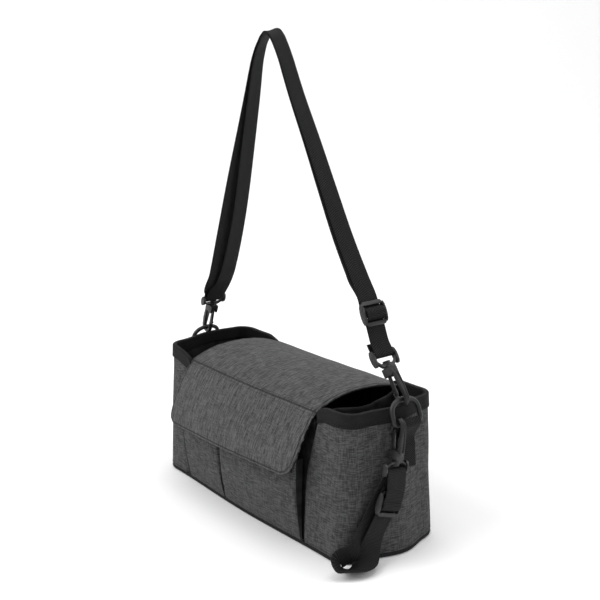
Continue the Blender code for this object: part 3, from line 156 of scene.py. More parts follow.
# Unevenness of each cloth: broad and fine (height, ripples per metre), stretch, seeds. The
# linings' heights are shares of their slack.
UNEVEN = {
    "end_wall": ((0.0011, 16), (0.00035, 48), (1, 1, 1.6), {"right": 3, "left": 8}),
    "painted_shade_front_cloth": ((0.0010, 14), (0.0003, 45), (1, 1, 1), 11),
    "back_cloth": ((0.0010, 14), (0.0003, 45), (1, 1, 1), 15),
    "divider": ((0.0042, 34), (0.0014, 85), (1, 1.0, 1.4), {"right": 21, "left": 25}),
    "pocket_lining": ((0.5, 30), (0.25, 80), (1, 1, 0.7), {"right": 31, "left": 35}),
    "front_pocket": ((0.0009, 22), (0.0003, 55), (1, 1, 0.6), 51),
    "flap_upper": ((0.0012, 13), (0.0003, 40), (1, 1.2, 1.2), 61),
    "flap_lower": ((0.0012, 13), (0.0003, 40), (1, 1.2, 1.2), 65),
}
TAPE_SEED = {"right": 41, "left": 45}
LINING_SLACK, LINING_FOLD_MOST, DIVIDER_BELLY = 0.0032, 1.4, 0.0150

# Each wave or rounding: height, then ripples per metre or reach
EDGE_ROLL, TAPE_WAVE, TAPE_PUFF = (0.0030, 0.006), (0.0005, 30), (0.0004, 75)
PUCKER, PUCKER_REACH, HEM_WAVE, HEM_REACH = (0.00055, 95), 0.007, (0.00035, 110), 0.006
HEM_ROUND, JOINT_ROUND = (0.0007, 0.0009), (0.0009, 0.0012)

# Trimmings: rows of stitches from their edges, tape's middle and bend, widths of the pocket's sides
# and pleat in black lining as painted shade
TAPE_STITCH, TAPE_MIDDLE, TAPE_BEND, FLAP_JOINT, SECOND_ROW = 0.002, 0.008, 0.0011, 0.0005, 0.0042
STITCH_RISE, BASE_STITCH = 0.0001, 0.0022
# Widths at the pocket's right side, left side and pleat that get black lining: painted shade in
# these folds
PAINTED_SHADE_RIGHT, PAINTED_SHADE_LEFT, PAINTED_SHADE_PLEAT = 0.0012, 0.0054, 0.0017
WEB_STEP, WEB_KEPT, WEB_CROWN, WEB_EDGE = 0.0016, 0.35, 0.10, (0.6, 1.2, math.pi / 2, 1.94, 2.54)
RING_SWELL, RING_SHOULDER, RING_ARCH = 1.2, 0.42, 0.8
RIDGE_ASIDE, RIDGE_RISE, RIDGE_INSET = (0.31, 0.9, 0.29), 0.93, 0.0012
SLIDER_ROUND, STRAP_LIFT, HOOK_LIFT = 0.6, 0.012, 0.008
WELD, FLAT_TURN, BEVEL_TURN, SHARP_TURN = 0.00002, 3, 35, 40

FAR_FROM_SEAM, TINY, AT_ONCE = 1.0, 1e-12, 4000


# Shader maths
class Field:
    """A value over a surface; Python's operators on it add Math nodes."""

    def __init__(self, finish, socket):
        self.finish, self.socket = finish, socket

    def __add__(self, other):
        return self.finish.math("ADD", self, other)

    def __sub__(self, other):
        return self.finish.math("SUBTRACT", self, other)

    def __rsub__(self, other):
        return self.finish.math("SUBTRACT", other, self)

    def __mul__(self, other):
        return self.finish.math("MULTIPLY", self, other)

    def __truediv__(self, other):
        return self.finish.math("DIVIDE", self, other)

    def __rtruediv__(self, other):
        return self.finish.math("DIVIDE", other, self)

    __radd__ = __add__
    __rmul__ = __mul__


class Finish:
    """A material in the making."""

    def __init__(self, name, **constants):
        self.material = bpy.data.materials.new(name)
        self.material.use_nodes = True
        self.tree = self.material.node_tree
        self.shader = self.tree.nodes["Principled BSDF"]
        for socket, value in constants.items():
            self.shader.inputs[socket.replace("_", " ")].default_value = value

    def node(self, kind, settings=None, inputs=None, output=0):
        made = self.tree.nodes.new(kind)
        for key, value in (settings or {}).items():
            setattr(made, key, value)
        for key, value in (inputs or {}).items():
            if isinstance(value, Field):
                self.tree.links.new(value.socket, made.inputs[key])
            else:
                made.inputs[key].default_value = value
        return Field(self, made.outputs[output])

    def math(self, operation, *values):
        return self.node("ShaderNodeMath", {"operation": operation}, dict(enumerate(values)))

    def between(self, value, low, high):
        """0 below low, 1 above high, and smooth between them."""
        return self.node("ShaderNodeMapRange", {"interpolation_type": "SMOOTHSTEP"},
                         {"Value": value, "From Min": low, "From Max": high})

    def mix(self, share, one, two):
        """A colour between two."""
        made = self.tree.nodes.new("ShaderNodeMix")
        made.data_type = "RGBA"
        for index, value in ((0, share), (6, one), (7, two)):
            if isinstance(value, Field):
                self.tree.links.new(value.socket, made.inputs[index])
            else:
                made.inputs[index].default_value = value if index == 0 else (*value, 1.0)
        return Field(self, made.outputs[2])

    def place(self, kind="UV"):
        return self.node("ShaderNodeTexCoord", output=kind)

    def scaled(self, place, scale):
        return self.node("ShaderNodeVectorMath", {"operation": "MULTIPLY"}, {0: place, 1: scale})

    def axis(self, place, name):
        return self.node("ShaderNodeSeparateXYZ", None, {0: place}, name)

    def noise(self, place, scale, detail=2.0, rough=0.5):
        """Noise of about 0 to 1, with its scale in features per metre along each axis."""
        return self.node("ShaderNodeTexNoise", {"noise_dimensions": "3D"},
                         {"Vector": self.scaled(place, scale), "Scale": 1.0, "Detail": detail,
                          "Roughness": rough})

    def yarns(self, across, along, pitch, length):
        """Noise of about 0 to 1 that is even over each yarn's width and changes along it."""
        number = self.math("FLOOR", across / pitch)
        spot = self.node("ShaderNodeCombineXYZ", None, {"X": number * 7.31, "Y": along / length})
        return self.noise(spot, (1.0, 1.0, 1.0), 1.0)

    def wave(self, value, pitch):
        """A sine of 0 to 1 with a pitch in metres."""
        return self.math("SINE", value * (2 * math.pi / pitch)) * 0.5 + 0.5

    def seam(self):
        """1 on a stitched line and 0 away from it, from the distance kept on each point."""
        away = self.node("ShaderNodeAttribute", {"attribute_name": "seam"}, None, 2)
        return 1 - self.between(away, 0.0002, 0.0011)

    def finish(self, colour, roughness, height=None, distance=0.0005, strength=1.0):
        for socket, value in (("Base Color", colour), ("Roughness", roughness)):
            if isinstance(value, Field):
                self.tree.links.new(value.socket, self.shader.inputs[socket])
            else:
                self.shader.inputs[socket].default_value = value
        if height is not None:
            bump = self.node("ShaderNodeBump", None,
                             {"Height": height, "Distance": distance, "Strength": strength})
            self.tree.links.new(bump.socket, self.shader.inputs["Normal"])
        return self.material


def shade(colour, factor):
    return tuple(channel * factor for channel in colour)


def melange_cloth(name, colour, weft_share, warp_share):
    """Two-tone plain weave: slubs along the weft and the warp, with fine threads."""
    made = Finish(name, Sheen_Weight=0.04, Sheen_Roughness=0.5, Specular_IOR_Level=0.12)
    uv = made.place()
    u, v = made.axis(uv, "X"), made.axis(uv, "Y")
    wobble = made.noise(uv, (WOBBLE_RIPPLES, WOBBLE_RIPPLES, 1.0), 1.0) * WOBBLE
    weft = made.between(made.yarns(v + wobble, u, YARN_PITCH, WEFT_LENGTH), 0.30, 0.70)
    warp = made.between(made.yarns(u + wobble, v, YARN_PITCH, WARP_LENGTH), 0.30, 0.70)
    cloud = made.noise(uv, (40.0, 40.0, 1.0), 2.0)
    fibre = made.noise(uv, (1900.0, 1900.0, 1.0), 1.0)
    pale = weft * weft_share + warp * warp_share + fibre * (1 - weft_share - warp_share)
    pale = made.between(pale, 0.12, 0.88)
    seam = made.seam()
    body = made.mix(pale, shade(colour, 0.50), shade(colour, 1.60))
    body = made.mix(made.between(cloud, 0.30, 0.75) * 0.06, body, shade(colour, 0.70))
    body = made.mix(seam * 0.72, body, shade(colour, 0.16))
    threads = made.wave(u, THREAD_PITCH) + made.wave(v, THREAD_PITCH)
    height = threads * 0.25 + pale * 0.35 - seam * 1.3
    return made.finish(body, 0.94 - pale * 0.10, height, WEAVE_BUMP, 0.7)


def lining_cloth(name, colour):
    """Thin black nylon with a faint grid and small creases, the creases' tops painted lighter as
    painted sheen.
    """
    made = Finish(name, Specular_IOR_Level=0.12)
    uv = made.place()
    creases_and_sheen = made.noise(uv, (60.0, 45.0, 1.0), 4.0, 0.6)
    grid = [made.wave(made.axis(uv, way), LINING_THREAD) for way in "XY"]
    threads = grid[0] * grid[1]
    # Crease tops are painted up to 3.4 times lighter: a painted sheen on the creases
    body = made.mix(made.between(creases_and_sheen, 0.35, 0.7), shade(colour, 0.9), shade(colour, 3.4))
    return made.finish(body, 0.62 + creases_and_sheen * 0.2, threads * 0.12 + creases_and_sheen * 1.5,
                       LINING_BUMP, 0.6)


def ribbed_webbing(name, colour, pitch, slope):
    """Webbing or tape: slanting ribs across it that meet in the middle."""
    made = Finish(name, Specular_IOR_Level=0.14)
    uv = made.place()
    across = made.math("ABSOLUTE", made.axis(uv, "X"))
    ribs = made.wave(made.axis(uv, "Y") + across * slope, pitch)
    fine = made.wave(made.axis(uv, "X"), RIB_THREAD)
    worn = made.noise(uv, (90.0, 30.0, 1.0), 3.0)
    lint = made.between(made.noise(uv, (1400.0, 500.0, 1.0), 2.0), 0.62, 0.80)
    body = made.mix(ribs, shade(colour, 0.35), shade(colour, 1.9))
    body = made.mix(made.between(worn, 0.35, 0.75) * 0.35, body, shade(colour, 1.9))
    body = made.mix(lint * 0.40, body, shade(colour, 4.5))
    seam = made.seam()
    body = made.mix(seam * 0.6, body, shade(colour, 0.25))
    return made.finish(body, 0.82 - ribs * 0.16, ribs + fine * 0.25 - seam * 1.2,
                       WEAVE_BUMP, 0.8)


def moulded_plastic(name, colour):
    """Satin injection-moulded plastic with a fine grain and a few rubbed places."""
    made = Finish(name, Specular_IOR_Level=0.38)
    at = made.place("Object")
    grain = made.noise(at, (2400.0, 2400.0, 2400.0), 2.0)
    flow = made.noise(at, (60.0, 60.0, 60.0), 3.0)
    rub = made.between(made.noise(at, (240.0, 240.0, 240.0), 3.0), 0.58, 0.75)
    body = made.mix(flow, shade(colour, 0.85), shade(colour, 1.15))
    body = made.mix(rub * 0.25, body, shade(colour, 1.8))
    return made.finish(body, 0.34 + flow * 0.10 + rub * 0.12, grain, 0.00006, 0.5)


def thread_finish(name, colour):
    """Twisted sewing thread."""
    made = Finish(name, Specular_IOR_Level=0.4)
    at = made.place("Object")
    twist = made.noise(at, (3000.0, 3000.0, 3000.0), 1.0)
    body = made.mix(twist, shade(colour, 0.7), shade(colour, 1.5))
    return made.finish(body, 0.6 + twist * 0.15, twist, 0.0001, 0.4)


def floor_finish(name, colour):
    """Matt studio paper."""
    made = Finish(name)
    at = made.place("Object")
    grain = made.noise(at, (400.0, 400.0, 400.0), 2.0)
    return made.finish(made.mix(grain, shade(colour, 0.995), colour), 0.9, grain, 0.0002, 0.05)


FINISHES = {}


# Meshes
def shown(name, data):
    """A new object in the scene, with its data."""
    made = bpy.data.objects.new(name, data)
    bpy.context.scene.collection.objects.link(made)
    return made


@contextmanager
def reshaped(mesh):
    """A mesh opened for editing and put back afterwards."""
    shape = bmesh.new()
    shape.from_mesh(mesh)
    yield shape
    shape.to_mesh(mesh)
    shape.free()


def unit(vectors):
    return vectors / (np.linalg.norm(vectors, axis=-1, keepdims=True) + TINY)


def square_to(grid):
    """The grid's normals."""
    return unit(np.cross(np.gradient(grid, axis=1), np.gradient(grid, axis=0)))


def run_along(points):
    """Distance along a line of points, from its first."""
    step = np.linalg.norm(np.diff(points, axis=0), axis=-1)
    return np.concatenate([[0.0], np.cumsum(step)])


def store(name, points, faces, uv, seam, finishes, places=None):
    """A mesh object whose points carry a UV place in metres and a distance to a stitched line."""
    mesh = bpy.data.meshes.new(name)
    mesh.from_pydata(np.asarray(points, float).tolist(), [], faces)
    for finish in finishes:
        mesh.materials.append(FINISHES[finish])
    if places is not None:
        mesh.polygons.foreach_set("material_index", np.asarray(places, np.int32))
    layer = mesh.uv_layers.new(name="UVMap")
    corner = np.zeros(len(mesh.loops), np.int32)
    mesh.loops.foreach_get("vertex_index", corner)
    layer.data.foreach_set("uv", np.asarray(uv, np.float32)[corner].ravel())
    away = mesh.attributes.new("seam", "FLOAT", "POINT")
    away.data.foreach_set("value", np.asarray(seam, np.float32))
    with reshaped(mesh) as shape:
        bmesh.ops.recalc_face_normals(shape, faces=shape.faces)
    mesh.shade_smooth()
    return shown(name, mesh)


def arc(grid, axis):
    """Distance along one way of a grid of points, from its middle line."""
    step = np.linalg.norm(np.diff(grid, axis=axis), axis=-1)
    zero = np.zeros_like(np.take(step, [0], axis=axis))
    run = np.concatenate([zero, np.cumsum(step, axis=axis)], axis=axis)
    middle = np.take(run, [run.shape[axis] // 2], axis=axis)
    return run - middle


def cloth(name, grid, thick, finishes, seam=None, outward=1.0, places=None, weave=None):
    """A cloth panel with rounded edges: a grid of points on its face, and its thickness."""
    rows, columns = grid.shape[:2]
    thick = np.broadcast_to(thick, (rows, columns))
    back = grid - square_to(grid) * outward * thick[..., None]
    index = np.arange(rows * columns).reshape(rows, columns)
    border = np.concatenate([index[0, :-1], index[:-1, -1], index[-1, :0:-1], index[:0:-1, 0]])
    inside = np.concatenate([index[1, :-1], index[:-1, -2], index[-2, :0:-1], index[:0:-1, 1]])
    face = grid.reshape(-1, 3)
    under = back.reshape(-1, 3)
    away = unit(face[border] - face[inside])
    edge = (face[border] + under[border]) / 2 + away * thick.ravel()[border][:, None] * 0.3
    count = rows * columns
    a, b = index[:-1, :-1].ravel(), index[:-1, 1:].ravel()
    c, d = index[1:, 1:].ravel(), index[1:, :-1].ravel()
    loop = np.arange(len(border))
    after = np.roll(loop, -1)
    faces = np.concatenate([
        np.stack([a, b, c, d], 1), np.stack([d, c, b, a], 1) + count,
        np.stack([border[loop], border[after], 2 * count + after, 2 * count + loop], 1),
        np.stack([2 * count + loop, 2 * count + after, count + border[after],
                  count + border[loop]], 1)])
    uv = np.stack([arc(grid, 1), arc(grid, 0)] if weave is None else weave, -1).reshape(-1, 2)
    seam = np.full(count, FAR_FROM_SEAM) if seam is None else np.asarray(seam).ravel()
    spots = None
    if len(finishes) > 1:
        front = np.zeros(len(a)) if places is None else np.asarray(places).ravel()
        rest = np.zeros(len(faces) - 2 * len(a))
        spots = np.concatenate([front, np.full(len(a), len(finishes) - 1), rest])
    seams = np.concatenate([seam, np.full(count, FAR_FROM_SEAM), seam[border]])
    return store(name, np.concatenate([face, under, edge]), faces.tolist(),
                 np.concatenate([uv, uv, uv[border]]), seams, finishes, spots)


def wrap(name, grid, across, finish, ring=False, seam=None):
    """A closed section swept along stations: grid of stations by points of the section."""
    stations, count = grid.shape[:2]
    index = np.arange(stations * count).reshape(stations, count)
    if ring:
        index = np.concatenate([index, index[:1]])
    wide = np.concatenate([index, index[:, :1]], axis=1)
    faces = np.stack([wide[:-1, :-1].ravel(), wide[:-1, 1:].ravel(),
                      wide[1:, 1:].ravel(), wide[1:, :-1].ravel()], 1).tolist()
    if not ring:
        faces += [index[0].tolist(), index[-1, ::-1].tolist()]
    along = run_along(grid.mean(axis=1))
    uv = np.stack([np.broadcast_to(across, (stations, count)),
                   np.broadcast_to(along[:, None], (stations, count))], -1).reshape(-1, 2)
    seam = np.full(stations * count, FAR_FROM_SEAM) if seam is None else np.asarray(seam).ravel()
    return store(name, grid.reshape(-1, 3), faces, uv, seam, [finish])


def tube(path, first, second, radius, count):
    """Rings of points round a path, and the angle of each point."""
    turns = np.linspace(0, 2 * math.pi, count + 1)[:-1]
    return (path[:, None] + first[:, None] * (radius * np.cos(turns))[None, :, None]
            + second[:, None] * (radius * np.sin(turns))[None, :, None]), turns


def settle(piece, slot, *nodes, body="bag"):
    """Put a finished piece on its body in place of the model's plain nodes."""
    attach(piece, body)
    if nodes:
        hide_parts(*nodes)
    return piece


def ripples(grid, scale, seed):
    """Smooth noise of about -1 to 1 at each point of a grid."""
    shift = Vector((seed * 7.31, seed * 3.17, seed * 1.93))
    flat = [noise.noise(Vector(p) * scale + shift) for p in grid.reshape(-1, 3)]
    return np.array(flat).reshape(grid.shape[:-1])


def crumpled(grid, kind, side=None):
    """A cloth's broad and fine unevenness at each point of its grid."""
    broad, fine, stretch, seed = UNEVEN[kind]
    seed = seed if side is None else seed[side]
    return (broad[0] * ripples(grid * list(stretch), broad[1], seed)
            + fine[0] * ripples(grid, fine[1], seed + 1))


def moved_out(grid, amount, outward=1.0):
    """The grid's points moved along its normal."""
    return grid + square_to(grid) * outward * amount[..., None]


def on_side(side, grid):
    return grid * np.array([SIDES[side], 1.0, 1.0])


def ease(value):
    value = np.clip(value, 0.0, 1.0)
    return value * value * (3 - 2 * value)


# Outline of the bag
def outline(s):
    """Point, outward normal and swell at distances along the outline from mid front to +X."""
    s = np.asarray(s, float)
    first, second = HALF_LONG, HALF_LONG + QUARTER
    third, fourth = second + 2 * HALF_END, second + 2 * HALF_END + QUARTER
    near, far = (s - first) / CORNER, (s - third) / CORNER
    y_end, x_back = s - second - HALF_END, first + fourth - s
    where = [s <= first, s <= second, s <= third, s <= fourth]
    flat = 0.0 * s
    px = np.select(where, [s, first + CORNER * np.sin(near), flat + LENGTH / 2,
                           first + CORNER * np.cos(far)], x_back)
    py = np.select(where, [flat - DEPTH / 2, -HALF_END - CORNER * np.cos(near), y_end,
                           HALF_END + CORNER * np.sin(far)], DEPTH / 2)
    nx = np.select(where, [flat, np.sin(near), flat + 1, np.cos(far)], 0.0)
    ny = np.select(where, [flat - 1, -np.cos(near), flat, np.sin(far)], 1.0)
    swell = np.select(where, [FRONT_BULGE * np.cos(math.pi / 2 * s / HALF_LONG) ** 2, flat,
                              END_BULGE * np.cos(math.pi / 2 * y_end / HALF_END) ** 2, flat],
                      BACK_BULGE * np.cos(math.pi / 2 * x_back / HALF_LONG) ** 2)
    return px, py, nx, ny, swell


def on_bag(s, z, out=0.0):
    """Points of the bag's surface at distances along the outline and heights."""
    s, z, out = np.broadcast_arrays(np.asarray(s, float), np.asarray(z, float),
                                    np.asarray(out, float))
    px, py, nx, ny, swell = outline(s)
    share = np.clip(z / RIM, 0.0, 1.0)
    foot = FOOT_CORNER + BACK_FOOT_CORNER * (ny > 0)
    out = out + swell * (1 + BELLY * np.sin(math.pi * share)) - TOP_INSET * share
    out = out + foot * (1 - share) * (2 * nx * ny) ** 2
    out = out + FOOT_SWELL * (1 - share) ** 2 * np.exp(-((s - end_s(0.016)) / 0.028) ** 2)
    x, y = px + nx * out, py + ny * out
    front = (DEPTH / 2 - y) / DEPTH
    return np.stack([x, y - FOOT_FORWARD * (1 - share) * front, z], -1)


def end_s(y):
    return HALF_LONG + QUARTER + HALF_END + y


def back_s(x):
    return 2 * HALF_LONG + 2 * QUARTER + 2 * HALF_END - x


def same_side(x, spot):
    """Points of the bag's surface with X's sign."""
    spot[..., 0] *= np.where(np.asarray(x) < 0, -1.0, 1.0)
    return spot


def front_point(x, z, out=0.0):
    return same_side(x, on_bag(np.abs(x), z, out))


def back_point(x, z, out=0.0):
    return same_side(x, on_bag(back_s(np.abs(x)), z, out))


def pocket_edge(side, z):
    """Distance from the middle of an end wall's front edge, which sweeps back near the top."""
    rise = np.clip((z - EDGE_SWEEP_FROM) / (RIM - EDGE_SWEEP_FROM), 0.0, None)
    sweep = EDGE_SWEEP if side == "right" else LEFT_TUCK - FOLD_X["left"]
    return FOLD_X[side] + sweep * rise ** 2


def rim_drop(side, s):
    """How far an end pocket's rim dips towards its front edge."""
    share = np.clip(1 - (np.asarray(s) - DIVIDER_X) / RIM_DIP_LENGTH[side], 0.0, 1.0)
    return RIM_DIP * share ** 2 + TUCK_DROP * ease((DIVIDER_X + 0.003 - np.asarray(s)) / 0.012)


def rim_height(side, s):
    """Top of an end pocket's wall, which dips again where it runs in behind the flap."""
    over = np.clip((np.asarray(s) - back_s(DIVIDER_X + 0.004)) / RIM_TUCK, 0.0, 1.0)
    arch = RIM_ARCH[side] * np.exp(-((np.asarray(s) - end_s(0.030)) / 0.045) ** 2)
    return WALL_TOP - rim_drop(side, s) - RIM_TUCK_DROP * over ** 1.5 + arch


def grip(side, s, z):
    """How much of the wall's thickness is left near its rim."""
    return 1 - RIM_PINCH * ease((z - rim_height(side, s) + 0.022) / 0.018)


def graded(start, stop, count, edges=(0.0006, 0.0014, 0.0024, 0.0032, 0.0045)):
    """Numbers from start to stop, closer together near both ends."""
    sign = 1.0 if stop > start else -1.0
    near = [start + sign * e for e in edges]
    far = [stop - sign * e for e in reversed(edges)]
    return np.array([start, *near, *np.linspace(near[-1], far[0], count)[1:-1], *far, stop])


# Body
def end_wall(side):
    """An end pocket's padded outer wall."""
    rows = graded(0.0, 1.0, 60, (0.01, 0.03, 0.05))
    nominal = WALL_FOOT + rows * (WALL_TOP - WALL_FOOT)
    starts = pocket_edge(side, nominal)
    stop = back_s(DIVIDER_X - RIM_TUCK)
    share = graded(0.0, 1.0, 150, (0.002, 0.005, 0.010))
    s = starts[:, None] + share[None, :] * (stop - starts[:, None])
    z = WALL_FOOT + rows[:, None] * (rim_height(side, s) - WALL_FOOT)
    grid = on_bag(s, z)
    calm = np.sin(math.pi * np.clip(rows, 0.0, 1.0))[:, None] ** 0.6
    calm = calm * ease((s - starts[:, None]) / 0.012) * ease((stop - s) / 0.012)
    roll = -EDGE_ROLL[0] * (1 - ease((s - starts[:, None]) / EDGE_ROLL[1]))
    grid = moved_out(grid, crumpled(grid, "end_wall", side) * calm + roll)
    made = cloth("end_wall_" + side, on_side(side, grid), WALL * 0.9 * grip(side, s, z),
                 ["melange", "black_lining"], outward=SIDES[side], weave=[s, z])
    settle(made, "melange", "end_panel_" + side)


def flat_wall(name, node, x_reach, rows, place, out, outward, finishes, slot):
    """A wall along the bag's front or back."""
    x = graded(-x_reach, x_reach, 110)
    z = np.asarray(rows)
    grid = place(x[None, :], z[:, None], out)
    share = (z - z[0]) / (z[-1] - z[0])
    calm = np.sin(math.pi * share)[:, None] ** 0.6 * ease((x_reach - np.abs(x)) / 0.02)[None, :]
    grid = moved_out(grid, calm * crumpled(grid, name), outward)
    made = cloth(name, grid, WALL * 0.9, finishes, outward=outward,
                 weave=np.broadcast_arrays(x[None, :], z[:, None]))
    settle(made, slot, node)


def base_loop(offset, z, count=240):
    """The bag's outline at the foot, anticlockwise from mid front."""
    total = back_s(0.0)
    half = np.linspace(0.0, total, count // 2 + 1)
    right = on_bag(half, 0.0, offset)
    left = right[-2:0:-1] * [-1.0, 1.0, 1.0]
    loop = np.concatenate([right, left])
    loop[:, 2] = z
    return loop


def base_cloth():
    """The stiff padded bottom, with a soft edge."""
    inset = -(2 * PIPING + 2 * GAP)
    levels = ((0.010, 0.0), (0.0010, 0.0), (0.0, 0.0008), (0.0, BASE_THICK - 0.0008),
              (0.0010, BASE_THICK), (0.010, BASE_THICK))
    loops = [base_loop(inset - back, height) for back, height in levels]
    centre = [np.array([0.0, -FOOT_FORWARD / 2, height]) for height in (0.0, BASE_THICK)]
    shrunk = [loops[0] * 0.5 + centre[0] * 0.5, *loops, loops[-1] * 0.5 + centre[1] * 0.5]
    count = len(loops[0])
    points = np.concatenate([[centre[0]], *shrunk, [centre[1]]])
    k = np.arange(count)
    after = (k + 1) % count
    faces = [[0, 1 + int(b), 1 + int(a)] for a, b in zip(k, after)]
    for ring in range(len(shrunk) - 1):
        one, two = 1 + ring * count, 1 + (ring + 1) * count
        faces += np.stack([one + k, one + after, two + after, two + k], 1).tolist()
    last = 1 + (len(shrunk) - 1) * count
    faces += [[len(points) - 1, last + int(a), last + int(b)] for a, b in zip(k, after)]
    made = store("base_cloth", points, faces, points[:, :2],
                 np.full(len(points), FAR_FROM_SEAM), ["melange"])
    settle(made, "melange", "base_panel")


def base_cord():
    """The piping round the bottom seam."""
    path = base_loop(-PIPING, PIPING + GAP)
    ahead = unit(np.roll(path, -1, 0) - np.roll(path, 1, 0))
    out = np.stack([ahead[:, 1], -ahead[:, 0], 0 * ahead[:, 0]], -1)
    upright = np.broadcast_to([0, 0, 1.0], path.shape)
    grid, turns = tube(path, out, upright, PIPING, 12)
    made = wrap("base_cord", grid, PIPING * turns, "piping", ring=True)
    settle(made, "piping", "base_piping")


# Linings
def divider_cloth(side):
    """A soft wall between the main compartment and an end pocket, slack on the pocket's side."""
    shares, parts = np.linspace(0, 1, 50), np.linspace(0, 1, 60)
    out = -(WALL + GAP)
    front = on_bag(DIVIDER_X, RIM * shares, out)[:, 1]
    back = on_bag(back_s(DIVIDER_X), RIM * shares, out)[:, 1]
    y = front[:, None] + parts[None, :] * (back - front)[:, None]
    under = (FLAP_CLOTH + LINING + 3 * GAP) * 1.25
    high = np.minimum(flap_height(y), WALL_TOP) - under
    high = high - DIVIDER_SAG * np.sin(math.pi * parts)[None, :] ** 2
    z = WALL_FOOT + shares[:, None] * (high - WALL_FOOT)
    x = np.full_like(y, DIVIDER_X + WALL / 2)
    grid = np.stack([x, y, z], -1)
    low = np.sin(math.pi * np.clip(shares * 0.70, 0, 1))[:, None] ** 0.5
    calm = np.sin(math.pi * parts)[None, :] ** 0.7 * low
    belly = DIVIDER_BELLY * calm * shares[:, None] ** 0.7
    grid[..., 0] += belly + crumpled(grid, "divider", side) * calm
    made = cloth("divider_cloth_" + side, on_side(side, grid), WALL * 0.9, ["black_lining"],
                 outward=SIDES[side])
    settle(made, "black_lining", "divider_" + side)


def pocket_lining(side):
    """The loose black lining inside an end pocket."""
    wide = DIVIDER_X + WALL / 2 + GAP + LINING
    s = np.linspace(wide, back_s(wide), 130)
    floor = BASE_THICK + GAP
    rows = np.linspace(0, 1, 40)
    top = rim_height(side, s) - GAP
    z = floor + rows[:, None] * (top[None, :] - floor)
    grid = on_bag(s[None, :] + 0 * z, z, -(WALL * grip(side, s[None, :], z) + GAP))
    calm = np.sin(math.pi * np.clip(rows, 0, 0.94) / 0.94)[:, None] * np.ones_like(s)[None, :]
    calm = calm * ease((s - s[0]) / 0.012)[None, :] * ease((s[-1] - s) / 0.012)[None, :]
    slack = 0.5 + crumpled(grid, "pocket_lining", side)
    grid = moved_out(grid, -LINING_SLACK * calm * np.clip(slack, 0, LINING_FOLD_MOST))
    made = cloth("pocket_lining_cloth_" + side, on_side(side, grid), LINING * 0.6,
                 ["black_lining"], outward=SIDES[side])
    settle(made, "black_lining", "pocket_lining_" + side)
    low = np.stack([on_bag(s, floor, -(WALL + GAP))[:, 0], on_bag(s, floor, -(WALL + GAP))[:, 1],
                    np.full_like(s, floor)], -1)
    flat = low.copy()
    flat[:, 0] = DIVIDER_X + WALL / 2 + GAP
    steps = np.linspace(0.01, 0.99, 16)
    bottom = low[None] * (1 - steps[:, None, None]) + flat[None] * steps[:, None, None]
    lift = 1 + ripples(bottom, 60, UNEVEN["pocket_lining"][3][side] + 2)
    bottom[..., 2] += 0.0008 + 0.0010 * lift * np.sin(math.pi * steps)[:, None]
    under = cloth("pocket_floor_" + side, on_side(side, bottom), LINING * 0.6, ["black_lining"],
                  outward=-SIDES[side])
    settle(under, "black_lining")


def main_lining():
    """The main compartment's lining, mostly hidden under the flap."""
    reach = DIVIDER_X - WALL / 2 - GAP
    top = POCKET_TOP + 0.4 * (RIM - POCKET_TOP)
    x = np.linspace(-reach + 0.003, reach - 0.003, 60)
    grid = np.array([np.concatenate([front_point(x, z, -(2 * WALL + 2 * GAP)),
                                     back_point(x[::-1], z, -(WALL + GAP))])
                     for z in (top, (top + BASE_THICK) / 2, BASE_THICK + GAP + LINING)])
    grid[..., 2] = np.maximum(grid[..., 2], BASE_THICK + GAP)
    made = wrap("main_lining_cloth", grid, np.linspace(0, 0.7, 120), "black_lining")
    with reshaped(made.data) as shape:
        lid = max(shape.faces, key=lambda f: f.calc_center_median().z if len(f.verts) > 4 else -1)
        bmesh.ops.delete(shape, geom=[lid], context="FACES_ONLY")
    thick = made.modifiers.new("thick", "SOLIDIFY")
    thick.thickness, thick.offset = LINING * 0.8, -1.0
    settle(plain(made), "black_lining", "main_lining")


def plain(piece):
    """The piece with its modifiers worked into its mesh."""
    seen = piece.evaluated_get(bpy.context.evaluated_depsgraph_get())
    mesh = bpy.data.meshes.new_from_object(seen)
    piece.modifiers.clear()
    piece.data = mesh
    return piece


# Bindings
def tape_section(straddle):
    """A folded tape's section as (distance out, height from the top)."""
    outside, inside, r = GAP + TAPE, -(straddle + GAP + TAPE), TAPE_BEND
    foot = -TAPE_HEIGHT
    points = [(GAP, foot), (outside - 0.0003, foot), (outside, foot + 0.0004)]
    points += [(outside, z) for z in np.linspace(foot + 0.002, -0.002, 8)]
    points += [(outside - r + r * math.cos(a), -r + r * math.sin(a))
               for a in np.linspace(0.2, math.pi / 2, 5)]
    points += [(inside + r - r * math.sin(a), -r + r * math.cos(a))
               for a in np.linspace(0.0, math.pi / 2 - 0.2, 5)]
    points += [(inside, z) for z in np.linspace(-0.002, foot + 0.002, 8)]
    points += [(inside, foot + 0.0004), (inside + TAPE, foot), (inside + TAPE, -TAPE),
               (GAP, -TAPE)]
    return np.array(points)


